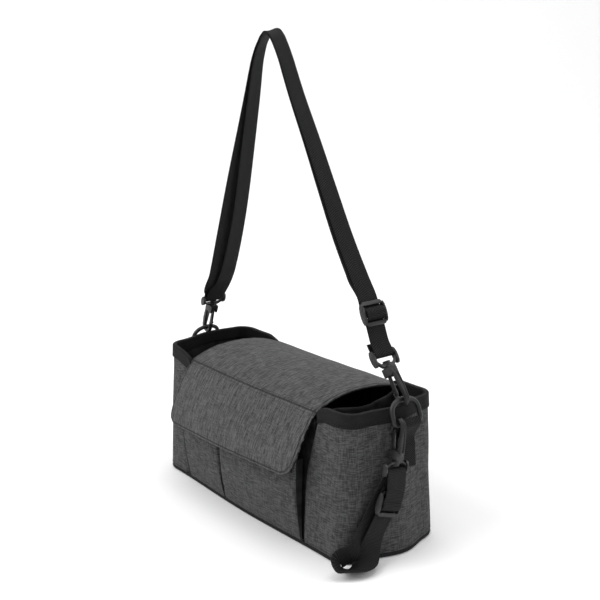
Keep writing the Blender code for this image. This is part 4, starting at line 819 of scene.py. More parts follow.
def rim_tape(side):
    """Ribbed tape folded over an end pocket's top edge."""
    stop = DIVIDER_X + WALL / 2 + 2 * LINING + 3 * GAP
    start = max(float(pocket_edge(side, WALL_TOP)), stop) if side == "right" else LEFT_TUCK
    s = np.linspace(start, back_s(DIVIDER_X - RIM_TUCK), 190)
    section = tape_section(WALL * (1 - RIM_PINCH) + GAP + LINING)
    top = rim_height(side, s) + GAP + TAPE
    z = top[:, None] + section[None, :, 1]
    grid = on_bag(s[:, None], z, section[None, :, 0])
    along, seed = np.stack([s, 0 * s, 0 * s], -1), TAPE_SEED[side]
    grid[..., 2] += TAPE_WAVE[0] * ripples(along, TAPE_WAVE[1], seed)[:, None]
    puff = TAPE_PUFF[0] * ripples(along, TAPE_PUFF[1], seed + 1)
    out = np.stack([*outline(s)[2:4], 0 * s], -1) * puff[:, None]
    low = ease(-section[:, 1] / TAPE_HEIGHT) * (section[:, 0] > 0)
    grid += out[:, None] * low[None, :, None]
    line = np.abs(-section[:, 1] - TAPE_HEIGHT + TAPE_STITCH)
    line = np.where(section[:, 0] > -0.001, line, FAR_FROM_SEAM)
    made = wrap("rim_tape_" + side, on_side(side, grid), run_along(section) - TAPE_MIDDLE, "tape",
                seam=np.broadcast_to(line, z.shape))
    settle(made, "black_webbing", "rim_binding_" + side)


# Front pocket
def pocket_out(x, z):
    """How far the front pocket's face stands out from the bag's front."""
    height = np.clip((z - WALL_FOOT) / (POCKET_TOP - WALL_FOOT), 0.0, 1.0)
    full = POCKET_BULGE * (1 - (1 - height) ** POCKET_SWELL)
    left = np.where(x < PLEAT_X, -FOLD_X["left"], PLEAT_X)
    right = np.where(x < PLEAT_X, PLEAT_X, FOLD_X["right"])
    part = np.clip((x - left) / (right - left), 0.0, 1.0)
    belly = np.sin(math.pi * part) ** 0.5
    return full * (0.78 + 0.22 * belly)


def pocket_face(x, z):
    """The front pocket's cloth, with its gussets and its pleat."""
    height = np.clip((z - WALL_FOOT) / (POCKET_TOP - WALL_FOOT), 0.0, 1.0)
    out = pocket_out(x, z)
    near = np.minimum(x + FOLD_X["left"] - POCKET_SLIT, FOLD_X["right"] - GAP - x)
    edge = np.clip(near / GUSSET, 0.0, 1.0)
    out = out * (1 - (1 - edge) ** 2.6)
    wide = 0.0009 + 0.0021 * height
    away = np.abs(x - PLEAT_X - 0.0010 * (1 - height) ** 3) / wide
    deep = np.minimum(PLEAT_DEPTH, out + 0.0005) * np.clip(height * 6, 0, 1)
    out = out - deep * np.exp(-away ** 2.5)
    base = front_point(x, z)
    base[..., 1] -= out
    return base


def front_pocket():
    """The front pocket, pleated, with black lining as painted shade along its sides and in its
    pleat.
    """
    left, right = -FOLD_X["left"] + POCKET_SLIT, FOLD_X["right"] - GAP - 0.0002
    gusset = np.array([0, 0.00004, 0.00015, 0.0004, 0.0008, 0.0014, 0.0022, 0.0032, 0.0045,
                       0.0058])
    pleat = np.array([-0.0040, -0.0030, -0.0022, -0.0017, -0.0013, -0.0010, -0.0007, -0.0004, 0,
                      0.0004, 0.0007, 0.0010, 0.0013, 0.0017, 0.0022, 0.0030, 0.0040])
    x = np.concatenate([left + gusset, np.linspace(left + 0.0045, PLEAT_X - 0.0040, 40)[1:-1],
                        PLEAT_X + pleat, np.linspace(PLEAT_X + 0.0040, right - 0.0045, 62)[1:-1],
                        (right - gusset)[::-1]])
    z = graded(WALL_FOOT, POCKET_TOP, 56)
    grid = pocket_face(x[None, :] + 0 * z[:, None], z[:, None] + 0 * x[None, :])
    beside = np.clip(np.abs(x - PLEAT_X) / 0.012, 0, 1)
    calm = np.clip(np.minimum(x - left, right - x) / 0.02, 0, 1) * beside
    height = (z - WALL_FOOT) / (POCKET_TOP - WALL_FOOT)
    calm = ease(calm)[None, :] * ease(height * 5)[:, None]
    grid = moved_out(grid, calm * crumpled(grid, "front_pocket"))
    # Black lining on the pocket's side strips and pleat is painted shade in these folds
    middle = (x[:-1] + x[1:]) / 2
    painted_shade = ((middle > right - PAINTED_SHADE_RIGHT) | (middle < left + PAINTED_SHADE_LEFT)
            | (np.abs(middle - PLEAT_X) < PAINTED_SHADE_PLEAT))
    made = cloth("front_pocket_cloth", grid, POCKET_CLOTH * 0.9, ["melange", "black_lining"],
                 weave=np.broadcast_arrays(x[None, :], z[:, None]),
                 places=np.broadcast_to(painted_shade, (len(z) - 1, len(x) - 1)).astype(int))
    settle(made, "melange", "front_pocket_panel")


def pocket_tape():
    """Tape folded over the front pocket's top edge."""
    left, right = -FOLD_X["left"] + 0.006, FOLD_X["right"] - 0.0042
    x = np.concatenate([np.linspace(left, PLEAT_X - 0.0045, 60),
                        PLEAT_X + np.array([-0.003, -0.0015, 0, 0.0015, 0.003]),
                        np.linspace(PLEAT_X + 0.0045, right, 90)])
    section = tape_section(POCKET_CLOTH)
    z = POCKET_TOP + GAP + TAPE + section[None, :, 1]
    at = np.minimum(z, POCKET_TOP)
    face = front_point(x[:, None] + 0 * z, at)
    dip = 0.55 * PLEAT_DEPTH * np.exp(-(np.abs(x - PLEAT_X) / 0.0028) ** 2.0)[:, None]
    face[..., 1] -= pocket_out(x[:, None] + 0 * z, at) - dip + section[None, :, 0]
    face[..., 2] = z + 0 * face[..., 2]
    made = wrap("pocket_tape", face, run_along(section) - TAPE_MIDDLE, "tape")
    settle(made, "black_webbing", "front_pocket_binding")


# Flap
def flap_height(y):
    """Top of the flap over the main compartment."""
    y = np.asarray(y, float)
    drop = np.where(y < 0, SEAM_DROP, BACK_DROP)
    reach = np.where(y < 0, SEAM_Y, DEPTH / 2 - TOP_INSET)
    return FLAP_CROWN - drop * (np.abs(y) / reach) ** ARCH_POWER


def seam_bow(x):
    return SEAM_BOW * np.cos(math.pi / 2 * x / FLAP_HALF) ** 2


def flap_top_line(x):
    """A line across the bag from the back hem over the top to the front seam."""
    back = float(back_point(x, BACK_HEM_Z, FLAP_CLOTH + LINING + 3 * GAP)[1])
    middle = float(flap_height(back - BACK_TURN)) - BACK_TURN
    up = [(back, z) for z in graded(BACK_HEM_Z, middle - 0.001, 8,
                                    (0.0006, 0.0014, 0.0026, 0.004))]
    turn = [(back - BACK_TURN + BACK_TURN * math.cos(a), middle + BACK_TURN * math.sin(a))
            for a in np.linspace(0.15, math.pi / 2, 8)]
    ys = graded(back - BACK_TURN, -SEAM_Y, 64)[1:]
    over = [(y - seam_bow(x) * max(0.0, -y / SEAM_Y) ** 2, float(flap_height(y))) for y in ys]
    return up + turn + over


def flap_front_line(x):
    """A line from the seam down to the bottom hem, which is rounded at its corners."""
    corner = FLAP_CORNER["right" if x > 0 else "left"]
    over = max(0.0, abs(x) - (FLAP_HALF - corner))
    lift = corner - math.sqrt(max(corner ** 2 - over ** 2, 0.0))
    low = FLAP_BOTTOM + FLAP_SLANT * (x / FLAP_HALF + 1) / 2 + lift
    high = float(flap_height(-SEAM_Y))
    rows = graded(high, low, 52)
    share = (rows - FLAP_BOTTOM) / (high - FLAP_BOTTOM)
    return [(-SEAM_Y - FLAP_REACH + FLAP_REACH * s ** HANG_POWER - seam_bow(x), z)
            for s, z in zip(share, rows)]


def flap_columns():
    """Places across the flap, close together at its edges and rounded corners."""
    left, right = FLAP_CORNER["left"], FLAP_CORNER["right"]
    last = [1.33, 1.40, 1.46, 1.51, 1.545, math.pi / 2]
    angles = np.concatenate([np.linspace(0, 1.25, 14)[1:], last])
    east = FLAP_HALF - right + right * np.sin(angles)
    west = -(FLAP_HALF - left + left * np.sin(angles))
    return np.concatenate([west[::-1], np.linspace(-FLAP_HALF + left, FLAP_HALF - right, 90), east])


def lowered(grid, depth):
    """A flap grid moved in, square to itself."""
    normal = square_to(grid)
    if normal[..., 2].mean() < normal[..., 1].mean():
        normal = -normal
    return grid - normal * depth


def edge_distance(grid, edges):
    """Distance of each point from some of the grid's edges."""
    lines = {"left": grid[:, 0], "right": grid[:, -1], "first": grid[0], "last": grid[-1]}
    flat = grid.reshape(-1, 3)
    nearest = np.full(len(flat), FAR_FROM_SEAM)
    for edge in edges:
        line = lines[edge]
        parts = [line[:-1] + (line[1:] - line[:-1]) * t for t in (0, 0.25, 0.5, 0.75)]
        fine = np.concatenate([*parts, line[-1:]])
        for start in range(0, len(flat), AT_ONCE):
            part = slice(start, start + AT_ONCE)
            gap = np.linalg.norm(flat[part, None] - fine[None], axis=-1).min(axis=1)
            nearest[part] = np.minimum(nearest[part], gap)
    return nearest.reshape(grid.shape[:-1])


def flap():
    """The flap: two cloth pieces joined by a seam, topstitched round their edges."""
    xs = flap_columns()
    top, front = (np.array([[(x, y, z) for y, z in line(x)] for x in xs]).transpose(1, 0, 2)
                  for line in (flap_top_line, flap_front_line))
    for name, grid, hems, joined, node in (
            ("flap_upper", top, ("left", "right", "first"), "last", "flap_top"),
            ("flap_lower", front, ("left", "right", "last"), "first", "flap_front")):
        hem, joint = edge_distance(grid, hems), edge_distance(grid, [joined])
        line = np.minimum(np.abs(hem - HEM_STITCH), np.abs(joint - FLAP_JOINT))
        line = np.minimum(line, np.abs(joint - SECOND_ROW) + 0.0004)
        calm = ease(np.minimum(hem, joint) / 0.02)
        seed = UNEVEN[name][3]
        pucker = PUCKER[0] * ripples(grid * [1, 0.2, 0.2], PUCKER[1], seed + 2)
        pucker = pucker * np.exp(-joint / PUCKER_REACH)
        hem_wave = HEM_WAVE[0] * ripples(grid, HEM_WAVE[1], seed + 3) * np.exp(-hem / HEM_REACH)
        rounded = (-HEM_ROUND[0] * np.exp(-hem / HEM_ROUND[1])
                   - JOINT_ROUND[0] * np.exp(-joint / JOINT_ROUND[1]))
        weave = np.broadcast_arrays(xs[None, :], arc(grid[:, len(xs) // 2:][:, :1], 0))
        body = crumpled(grid, name)
        grid = moved_out(grid, calm * body + pucker + hem_wave + rounded, -1.0)
        made = cloth(name, grid, FLAP_CLOTH, ["melange_flap", "black_lining"], seam=line,
                     outward=-1.0, weave=weave)
        settle(made, "melange_flap", node)
    whole = np.concatenate([top, front[1:]])
    inner = lowered(whole, FLAP_CLOTH + GAP)
    centre = inner[:, len(xs) // 2:len(xs) // 2 + 1]
    inner = centre + (inner - centre) * [0.992, 1.0, 1.0]
    made = cloth("flap_underside", inner, LINING * 0.8, ["black_lining"], outward=-1.0)
    settle(made, "black_lining", "flap_lining")


# Places of the rings, hooks and straps
def ring_frame(side):
    """An end ring's bar middle, and the way from the bar to its top."""
    wall = float(on_bag(end_s(RING_Y), RING_BAR_Z)[0])
    lean = math.radians(RING_LEAN)
    sign = SIDES[side]
    return (Vector((sign * (wall + RING_STAND), RING_Y, RING_BAR_Z)),
            Vector((-sign * math.sin(lean), 0, math.cos(lean))))


def placed(spot, shank, across):
    z = Vector(shank).normalized()
    x = Vector(across)
    x = (x - z * x.dot(z)).normalized()
    turned = Matrix((x, z.cross(x), z)).transposed().to_4x4()
    return Matrix.Translation(spot) @ turned


def hook_pull():
    return HOOK_RADIUS - HOOK_BAR / 2 - RING_WIRE - HOOK_SEAT


def strap_hook_place(side):
    bar, up = ring_frame(side)
    sign, tilt = SIDES[side], math.radians(STRAP_TILT[side])
    shank = Vector((-sign * math.sin(tilt), 0, math.cos(tilt)))
    return placed(bar + up * RING_HEIGHT + shank * hook_pull(), shank, (sign, 0, 0))


def turned_over(side):
    """The left stroller strap is the right one turned half round."""
    if side == "right":
        return Matrix.Identity(4)
    centre = Matrix.Translation((0, RING_Y, 0))
    return centre @ Matrix.Rotation(math.pi, 4, "Z") @ centre.inverted()


def stroller_hook_place(side):
    bar, _ = ring_frame("right")
    sway, out = math.radians(SWAY), math.radians(LEAN_OUT)
    shank = Vector((math.sin(out), -math.sin(sway), -math.cos(sway) * math.cos(out)))
    free = RING_WIDTH / 2 - (WEBBING / 2 - TAB_SHIFT)
    spot = Vector((bar.x, RING_Y - RING_WIDTH / 2 + free / 2, bar.z)) + shank * hook_pull()
    return turned_over(side) @ placed(spot, shank, (1, 0, 0))


def bar_height():
    return HOOK_TOP + CLEAR + FRAME_PLATE + FRAME_WINDOW - FRAME_BAR / 2


def station(point, turn=0.0, dip=0.0):
    """A place on a strap and the way its width points, turned about Z and dipped, in degrees."""
    turn, dip = math.radians(turn), math.radians(dip)
    return np.array((*point, -math.sin(turn), math.cos(turn) * math.cos(dip), -math.sin(dip)))


def swapped(stations):
    """The same places with their width pointing the other way."""
    return [s * np.array([1, 1, 1, -1, -1, -1]) for s in stations]


def smooth_line(points, step):
    """Stations about a step apart on a smooth curve through the given ones."""
    spaced = [points[0] * 2 - points[1], *points, points[-1] * 2 - points[-2]]
    line = []
    for a, b, c, d in zip(spaced, spaced[1:], spaced[2:], spaced[3:]):
        count = max(1, round(float(np.linalg.norm((c - b)[:3])) / step))
        for k in range(count):
            t = k / count
            line.append(0.5 * (2 * b + (c - a) * t + (2 * a - 5 * b + 4 * c - d) * t ** 2
                               + (3 * b - a - 3 * c + d) * t ** 3))
    return [*line, points[-1]]


def web_section():
    """Webbing's section as (across, through) with rounded edges, and which face each part is."""
    half, thick = WEBBING / 2, WEB_THICK / 2
    flat = np.linspace(half - thick, -half + thick, 13)
    top = [(w, thick * (1 - WEB_CROWN * (w / half) ** 2)) for w in flat]
    edge = [(-half + thick - thick * math.sin(a), thick * 0.9 * math.cos(a)) for a in WEB_EDGE]
    return np.array([*top, *edge, *[(-w, -t) for w, t in top + edge]])


def webbing(name, stations, finish):
    """Webbing on a smooth line through stations."""
    kept = []
    for spot in smooth_line(stations, WEB_STEP):
        if not kept or np.linalg.norm((spot - kept[-1])[:3]) > WEB_STEP * WEB_KEPT:
            kept.append(spot)
    path, wide = np.split(np.array(kept), 2, axis=1)
    ahead = unit(np.gradient(path, axis=0))
    wide = unit(wide - ahead * (wide * ahead).sum(-1, keepdims=True))
    up = np.cross(wide, ahead)
    section = web_section()
    grid = (path[:, None] + wide[:, None] * section[None, :, :1]
            + up[:, None] * section[None, :, 1:])
    return wrap(name, grid, section[:, 0], finish)


def round_bar(radius, degrees, way=1.0):
    """Points round a bar at angles in degrees."""
    return [(radius * math.cos(math.radians(a)), way * radius * math.sin(math.radians(a)))
            for a in degrees]


def through_slider():
    """Over the face of the middle bar, and flat behind the outer bars."""
    back = -(SLIDER_THICK / 2 + CLEAR + WEB_THICK / 2)
    crown = SLIDER_MIDDLE * SLIDER_ROUND + WEB_THICK * 1.5 + 2 * CLEAR + LAYER_GAP
    slot = SLIDER_MIDDLE / 2 + SLIDER_SLOT
    return [(slot + SLIDER_BAR, back), (slot, back), *round_bar(crown, (36, 63, 90, 117, 144)),
            (-slot, back), (-slot - SLIDER_BAR, back)]


def round_middle_bar():
    """The shoulder strap's sewn end, round the middle bar."""
    around = SLIDER_MIDDLE * SLIDER_ROUND + CLEAR + WEB_THICK / 2
    far = -(SLIDER_THICK / 2 + CLEAR + WEB_THICK * 1.5 + LAYER_GAP)
    return [(0.020, far), (0.008, far),
            *round_bar(around, (250, 225, 190, 155, 120, 90, 60, 30, 0, -20))]


def behind_middle_bar():
    """The sewn end: up behind the middle bar, round it and away over the face of the top bar."""
    around = SLIDER_MIDDLE * SLIDER_ROUND + CLEAR + WEB_THICK / 2
    near = SLIDER_THICK / 2 + CLEAR + WEB_THICK * 1.5 + LAYER_GAP
    return [(0.013, -near + 0.001), (0.008, -near),
            *round_bar(around, (60, 90, 120, 155, 190, 225, 250), -1.0),
            (0.006, near), (0.0115, near), (0.018, near - 0.001)]


def wrapped(bar, shank, out, radius):
    return [bar + out * radius * math.cos(a) - shank * radius * math.sin(a)
            for a in np.linspace(0, math.pi, 7)]


def bar_wrap():
    return FRAME_BAR / 2 * 1.25 + CLEAR + WEB_THICK / 2


def over_bag(share, rise):
    return Vector((share * LENGTH / 2, RING_Y, RING_BAR_Z + rise))


def beside_end(out, back, share):
    return Vector((LENGTH / 2 + out, back - DEPTH / 2, share * RING_BAR_Z))


def inside_of(line, depth):
    """The same line moved in towards the inside of the strap's loop."""
    moved = []
    last = len(line) - 1
    for i, s in enumerate(line):
        along = Vector((line[min(i + 1, last)] - line[max(i - 1, 0)])[:3]).normalized()
        copy = s.copy()
        copy[0] += -along.z * depth
        copy[2] += along.x * depth
        moved.append(copy)
    return moved


def shoulder_strap():
    """One webbing: sewn at the right hook, through the slider, over to the left hook and back."""
    lean = math.radians(SLIDER_LEAN)
    up = Vector((-math.sin(lean), 0, math.cos(lean)))
    out = Vector((math.cos(lean), 0, math.sin(lean)))
    centre = over_bag(*SLIDER_AT)
    places = {side: strap_hook_place(side) for side in SIDES}
    bars = {side: place @ Vector((0, 0, frame_bar(side))) for side, place in places.items()}
    shanks = {side: (place.to_3x3() @ Vector((0, 0, 1))).normalized()
              for side, place in places.items()}
    right_out = Vector((shanks["right"].z, 0, -shanks["right"].x))
    turn = wrapped(bars["right"], shanks["right"], -right_out, bar_wrap())
    through = [centre + up * h + out * n for h, n in reversed(through_slider())]
    start = [station(turn[0] + shanks["right"] * STRAP_TAIL),
             station(turn[0] + shanks["right"] * STRAP_TAIL / 2), *[station(p) for p in turn]]
    lift = [station(turn[-1]), station(turn[-1] + shanks["right"] * STRAP_LIFT),
            station(through[0])]
    start += smooth_line(lift, 0.010)[1:-1]
    left_out = Vector((-shanks["left"].z, 0, shanks["left"].x))
    back = wrapped(bars["left"], shanks["left"], left_out, bar_wrap())
    limbs = {side: [station(over_bag(share, rise), *turned) for share, rise, *turned in line]
             for side, line in (("right", LIMB_RIGHT), ("left", LIMB_LEFT))}
    apex = station(over_bag(*APEX[:2]), *APEX[2:])
    outer = smooth_line([station(through[-1]), *limbs["right"], apex, *limbs["left"],
                         station(back[0] + shanks["left"] * HOOK_LIFT)], 0.014)
    inner = inside_of(outer, WEB_THICK + LAYER_GAP)
    for line, share in ((outer, -0.5), (inner, 0.5)):
        for s in line[1:-1]:
            most = FAN["left"] if s[0] < apex[0] else FAN["right"]
            s[1] += most * math.exp(-((s[2] - FAN_HEIGHT) / FAN_SPAN) ** 2) * share
    sewn = [centre + up * h + out * n for h, n in round_middle_bar()]
    path = [*start, *[station(p) for p in through[:-1]], *outer, *[station(p) for p in back],
            station(back[-1] + shanks["left"] * HOOK_LIFT), *reversed(inner[2:-1]),
            *[station(p) for p in sewn]]
    made = webbing("shoulder_webbing", path, "black_webbing")
    settle(made, "black_webbing", "shoulder_strap")


def stroller_strap(side):
    """Webbing loop: sewn on the slider, over the hook's bar, down, round and up to the slider."""
    place = stroller_hook_place("right")
    bar = place @ Vector((0, 0, bar_height()))
    turned = place.to_3x3()
    shank, out = turned @ Vector((0, 0, 1)), turned @ Vector((1, 0, 0))
    centre = beside_end(*LOOP_SLIDER)
    lean = math.radians(LOOP_SLIDER_LEAN)
    up, face = Vector((0, math.sin(lean), math.cos(lean))), Vector((1, 0, 0))

    def on_slider(points):
        return [station(centre + up * h + face * n, 0, LOOP_SLIDER_LEAN) for h, n in points]

    sewn, through = on_slider(behind_middle_bar()), on_slider(reversed(through_slider()))
    over = [station(p, 0, SWAY) for p in wrapped(bar, shank, out, bar_wrap())]
    tail = on_slider([(0.018, through_slider()[0][1])])
    down = station(Vector(over[-1][:3]) + shank * 0.004, 0, SWAY)
    rise = station(Vector(over[0][:3]) + shank * 0.004, 0, SWAY)
    loop = [np.array(s) for s in LOOP]
    path = [*swapped([*sewn, rise, *over, down]), *loop, *through, *tail]
    made = webbing("stroller_webbing_" + side, path, "lit_loop_webbing")
    made.data.transform(turned_over(side))
    node = "stroller_strap_" + side
    settle(made, "black_webbing", node, body=BODY_OF[node])


def ring_tab(side):
    """Webbing folded round a ring's bar and sewn flat to the end wall."""
    bar, _ = ring_frame("right")
    around = RING_WIRE + CLEAR + WEB_THICK / 2
    layer = WEB_THICK + LAYER_GAP

    def rest(z):
        spots = on_bag(end_s(np.linspace(RING_Y - WEBBING / 2, RING_Y + WEBBING / 2, 5)), z)
        return float(spots[:, 0].max()) + TAB_REST + WEB_THICK / 2

    heights = np.linspace(TAB_BOTTOM, TAB_LEAVES, 4)
    line = [(rest(z), z) for z in heights]
    line += [(bar.x + around * math.cos(a), bar.z + around * math.sin(a))
             for a in np.linspace(math.radians(TAB_TURN), 0.0, 9)]
    line += [(bar.x + around - 0.0003, bar.z - 0.004)]
    line += [(rest(z) + layer, z) for z in heights[::-1]]
    stations = [station((x, RING_Y + TAB_SHIFT, z)) for x, z in line]
    made = webbing("ring_webbing_" + side, stations, "black_webbing")
    made.data.transform(turned_over(side))
    settle(made, "black_webbing", "ring_tab_" + side)


def end_ring(side):
    """A moulded end ring, round in section."""
    bar, up = ring_frame(side)
    half = RING_WIDTH / 2 + RING_WIRE
    corner = RING_CORNER
    shoulder = RING_HEIGHT * RING_SHOULDER
    flat = [(y, 0.0) for y in np.linspace(-(half - corner), half - corner, 16)]
    flat += [(half - corner + corner * math.sin(a), corner - corner * math.cos(a))
             for a in np.linspace(0, math.pi / 2, 7)[1:]]
    flat += [(half * math.cos(a), shoulder + (RING_HEIGHT - shoulder) * math.sin(a) ** RING_ARCH)
             for a in np.linspace(0, math.pi, 37)]
    flat += [(-(half - corner) - corner * math.sin(a), corner - corner * math.cos(a))
             for a in np.linspace(math.pi / 2, 0, 7)[1:-1]]
    path = np.array([bar + Vector((0, y, 0)) + up * v for y, v in flat])
    ahead = unit(np.roll(path, -1, 0) - np.roll(path, 1, 0))
    flatwise = np.broadcast_to(np.array(up.cross(Vector((0, 1, 0)))), path.shape)
    grid, turns = tube(path, np.cross(ahead, flatwise), flatwise, RING_WIRE * RING_SWELL, 14)
    made = wrap("end_ring_" + side, grid, RING_WIRE * turns, "black_plastic", ring=True)
    settle(made, "black_plastic", "d_ring_" + side)


def frame_bar(side):
    """Height of the middle of a shoulder frame's bar over its hook."""
    place = ("strap", side)
    return HOOK_TOP + (bar_height() - HOOK_TOP) * FRAME_STRETCH[place] - FRAME_SINK[place]


def moulding(node, name, width, place=None, swell=1.0, stretch=1.0, sink=0.0):
    """A copy of a model's moulded part with its edges rounded, widened in its own place."""
    mesh = frame["nodes"][node].data.copy()
    if place is not None:
        mesh.transform(place.inverted())
        lift = Matrix.Translation((0, 0, HOOK_TOP * (1 - stretch) - sink))
        mesh.transform(lift @ Matrix.Diagonal((1.0, 1.0, stretch, 1.0)))
        for vertex in mesh.vertices:
            vertex.co.y *= 1 + (swell - 1) * float(ease(vertex.co.z / HOOK_TAPER))
        mesh.transform(place)
    mesh.materials.clear()
    mesh.materials.append(FINISHES["black_plastic"])
    with reshaped(mesh) as shape:
        bmesh.ops.remove_doubles(shape, verts=shape.verts, dist=WELD)
        bmesh.ops.dissolve_limit(shape, angle_limit=math.radians(FLAT_TURN), verts=shape.verts,
                                 edges=shape.edges)
    made = shown(name, mesh)
    soft = made.modifiers.new("soft", "BEVEL")
    soft.width, soft.segments, soft.limit_method = width, 3, "ANGLE"
    soft.angle_limit = math.radians(BEVEL_TURN)
    soft.harden_normals = False
    plain(made)
    made.data.shade_smooth()
    made.data.set_sharp_from_angle(angle=math.radians(SHARP_TURN))
    settle(made, "black_plastic", node, body=BODY_OF[node])


def hook_ridges(kind, side, place):
    """Two ridges up the back of a snap hook, joined round its bend."""
    outer = HOOK_RADIUS + HOOK_BAR / 2
    rise, half = HOOK_SHOULDER * RIDGE_RISE, HOOK_WIDTH / 2 - RIDGE_INSET
    wide = HOOK_WIDTH * (HOOK_SWELL - 1) / 2
    line = [(outer * (1 - 0.09 * k), half + wide * float(ease(k * rise / HOOK_TAPER)), k * rise)
            for k in np.linspace(0.98, 0, 13)]
    line += [(outer * math.cos(a), half * math.cos(a), -outer * math.sin(a))
             for a in np.linspace(0, math.pi / 2, 9)[1:]]
    line += [(x, -y, z) for x, y, z in reversed(line[:-1])]
    path = np.array(line)
    ahead = unit(np.gradient(path, axis=0))
    first = unit(np.cross(ahead, RIDGE_ASIDE))
    grid, turns = tube(path, first, np.cross(ahead, first), RIDGE, 8)
    made = wrap(f"{kind}_ridges_{side}", grid, RIDGE * turns, "black_plastic")
    made.data.transform(place)
    settle(made, "black_plastic", body=BODY_OF[f"{kind}_hook_{side}"])


# Stitching
def stitch_tree():
    """Geometry nodes: stitches of one length at an even pitch along a line."""
    tree = bpy.data.node_groups.new("stitch_row", "GeometryNodeTree")
    face = tree.interface
    face.new_socket("Line", in_out="INPUT", socket_type="NodeSocketGeometry")
    for name, value in (("Pitch", 0.003), ("Length", 0.0022), ("Thread", 0.0005)):
        made = face.new_socket(name, in_out="INPUT", socket_type="NodeSocketFloat")
        made.default_value = value
    face.new_socket("Finish", in_out="INPUT", socket_type="NodeSocketMaterial")
    face.new_socket("Stitches", in_out="OUTPUT", socket_type="NodeSocketGeometry")
    nodes = tree.nodes
    given, gone = nodes.new("NodeGroupInput"), nodes.new("NodeGroupOutput")
    curve = nodes.new("GeometryNodeMeshToCurve")
    spaced = nodes.new("GeometryNodeResampleCurve")
    spaced.mode = "LENGTH"
    tangent = nodes.new("GeometryNodeInputTangent")
    aim = nodes.new("FunctionNodeAlignEulerToVector")
    aim.axis = "Z"
    ball = nodes.new("GeometryNodeMeshUVSphere")
    for name, value in (("Segments", 6), ("Rings", 4), ("Radius", 0.5)):
        ball.inputs[name].default_value = value
    size = nodes.new("ShaderNodeCombineXYZ")
    put = nodes.new("GeometryNodeInstanceOnPoints")
    real = nodes.new("GeometryNodeRealizeInstances")
    paint = nodes.new("GeometryNodeSetMaterial")
    smooth = nodes.new("GeometryNodeSetShadeSmooth")
    for one, out, other, into in (
            (given, "Line", curve, "Mesh"), (curve, "Curve", spaced, "Curve"),
            (given, "Pitch", spaced, "Length"), (tangent, "Tangent", aim, "Vector"),
            (given, "Thread", size, "X"), (given, "Thread", size, "Y"),
            (given, "Length", size, "Z"), (spaced, "Curve", put, "Points"),
            (ball, "Mesh", put, "Instance"), (aim, "Rotation", put, "Rotation"),
            (size, "Vector", put, "Scale"), (put, "Instances", real, "Geometry"),
            (real, "Geometry", smooth, "Geometry"), (smooth, "Geometry", paint, "Geometry"),
            (given, "Finish", paint, "Material"), (paint, "Geometry", gone, "Stitches")):
        tree.links.new(one.outputs[out], other.inputs[into])
    return tree


def stitches(name, lines, body, tree, pitch, length, thread):
    """Rows of stitches along lines of points, as one plain mesh."""
    points, edges = [], []
    for line in lines:
        first = len(points)
        points += [tuple(p) for p in line]
        edges += [(first + i, first + i + 1) for i in range(len(line) - 1)]
    mesh = bpy.data.meshes.new(name)
    mesh.from_pydata(points, edges, [])
    made = shown(name, mesh)
    rows = made.modifiers.new("rows", "NODES")
    rows.node_group = tree
    sockets = {item.name: item.identifier for item in tree.interface.items_tree
               if item.in_out == "INPUT"}
    for key, value in (("Pitch", pitch), ("Length", length), ("Thread", thread),
                       ("Finish", FINISHES["thread"])):
        rows[sockets[key]] = value
    bpy.context.view_layer.update()
    plain(made)
    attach(made, body)


def flap_stitch_lines():
    """The hem stitching on both flap pieces and the two rows beside their seam."""
    inset, rise = HEM_STITCH, STITCH_RISE
    half = FLAP_HALF - inset
    lines = []
    for x in (-half, half):
        line = flap_top_line(x)
        lines.append([(x, y, z + rise) if y < 0.05 else (x, y + rise, z) for y, z in line[3:]])
        lines.append([(x, y - rise, z + rise) for y, z in flap_front_line(x)[:-6]])
    hem = []
    for x in np.linspace(-half, half, 120):
        line = flap_front_line(x)
        (y, z), (y2, z2) = line[-1], line[-5]
        share = inset / max(math.hypot(y - y2, z - z2), 1e-6)
        hem.append((x, y + (y2 - y) * share - rise * 2, z + (z2 - z) * share))
    seam = []
    for x in np.linspace(-half, half, 100):
        y, z = flap_top_line(x)[-4]
        seam.append((x, y, z + rise * 2))
    return [*lines, hem, seam]


def rim_stitch_lines(side):
    s = np.linspace(DIVIDER_X + 0.004, back_s(DIVIDER_X + 0.004), 260)
    z = rim_height(side, s) + GAP + TAPE - TAPE_HEIGHT + TAPE_STITCH
    return [on_side(side, on_bag(s, z, GAP + TAPE + STITCH_RISE))]


def base_stitch_lines():
    s = np.linspace(0.0, back_s(0.0), 400)
    return [on_side(side, on_bag(s, WALL_FOOT + BASE_STITCH, STITCH_RISE)) for side in SIDES]


# Studio
def studio_floor():
    """A floor that bends up into a wall behind the bag."""
    bend = [(FLOOR_FAR + FLOOR_BEND * math.sin(a), FLOOR_BEND - FLOOR_BEND * math.cos(a))
            for a in np.linspace(0, math.pi / 2, FLOOR_STEPS)[1:]]
    profile = [(FLOOR_NEAR, 0.0), (FLOOR_FAR, 0.0), *bend, (FLOOR_FAR + FLOOR_BEND, FLOOR_TOP)]
    turn = Matrix.Rotation(math.radians(VIEW_AZIMUTH), 3, "Z")
    points = [tuple(turn @ Vector((x, y, z))) for x in (-FLOOR_HALF, FLOOR_HALF)
              for y, z in profile]
    count = len(profile)
    faces = [(i, count + i, count + i + 1, i + 1) for i in range(count - 1)]
    mesh = bpy.data.meshes.new("studio_floor")
    mesh.from_pydata(points, [], faces)
    mesh.materials.append(FINISHES["floor"])
    mesh.shade_smooth()
    floor = shown("studio_floor", mesh)


def studio_lamps():
    for name, spot, size, power in LAMPS:
        light = bpy.data.lights.new(name, "AREA")
        light.shape, light.size, light.energy = "DISK", size, power
        lamp = shown(name, light)
        lamp.location = spot
        aim = Vector(LAMP_AIM) - Vector(spot)
        lamp.rotation_euler = aim.to_track_quat("-Z", "Y").to_euler()


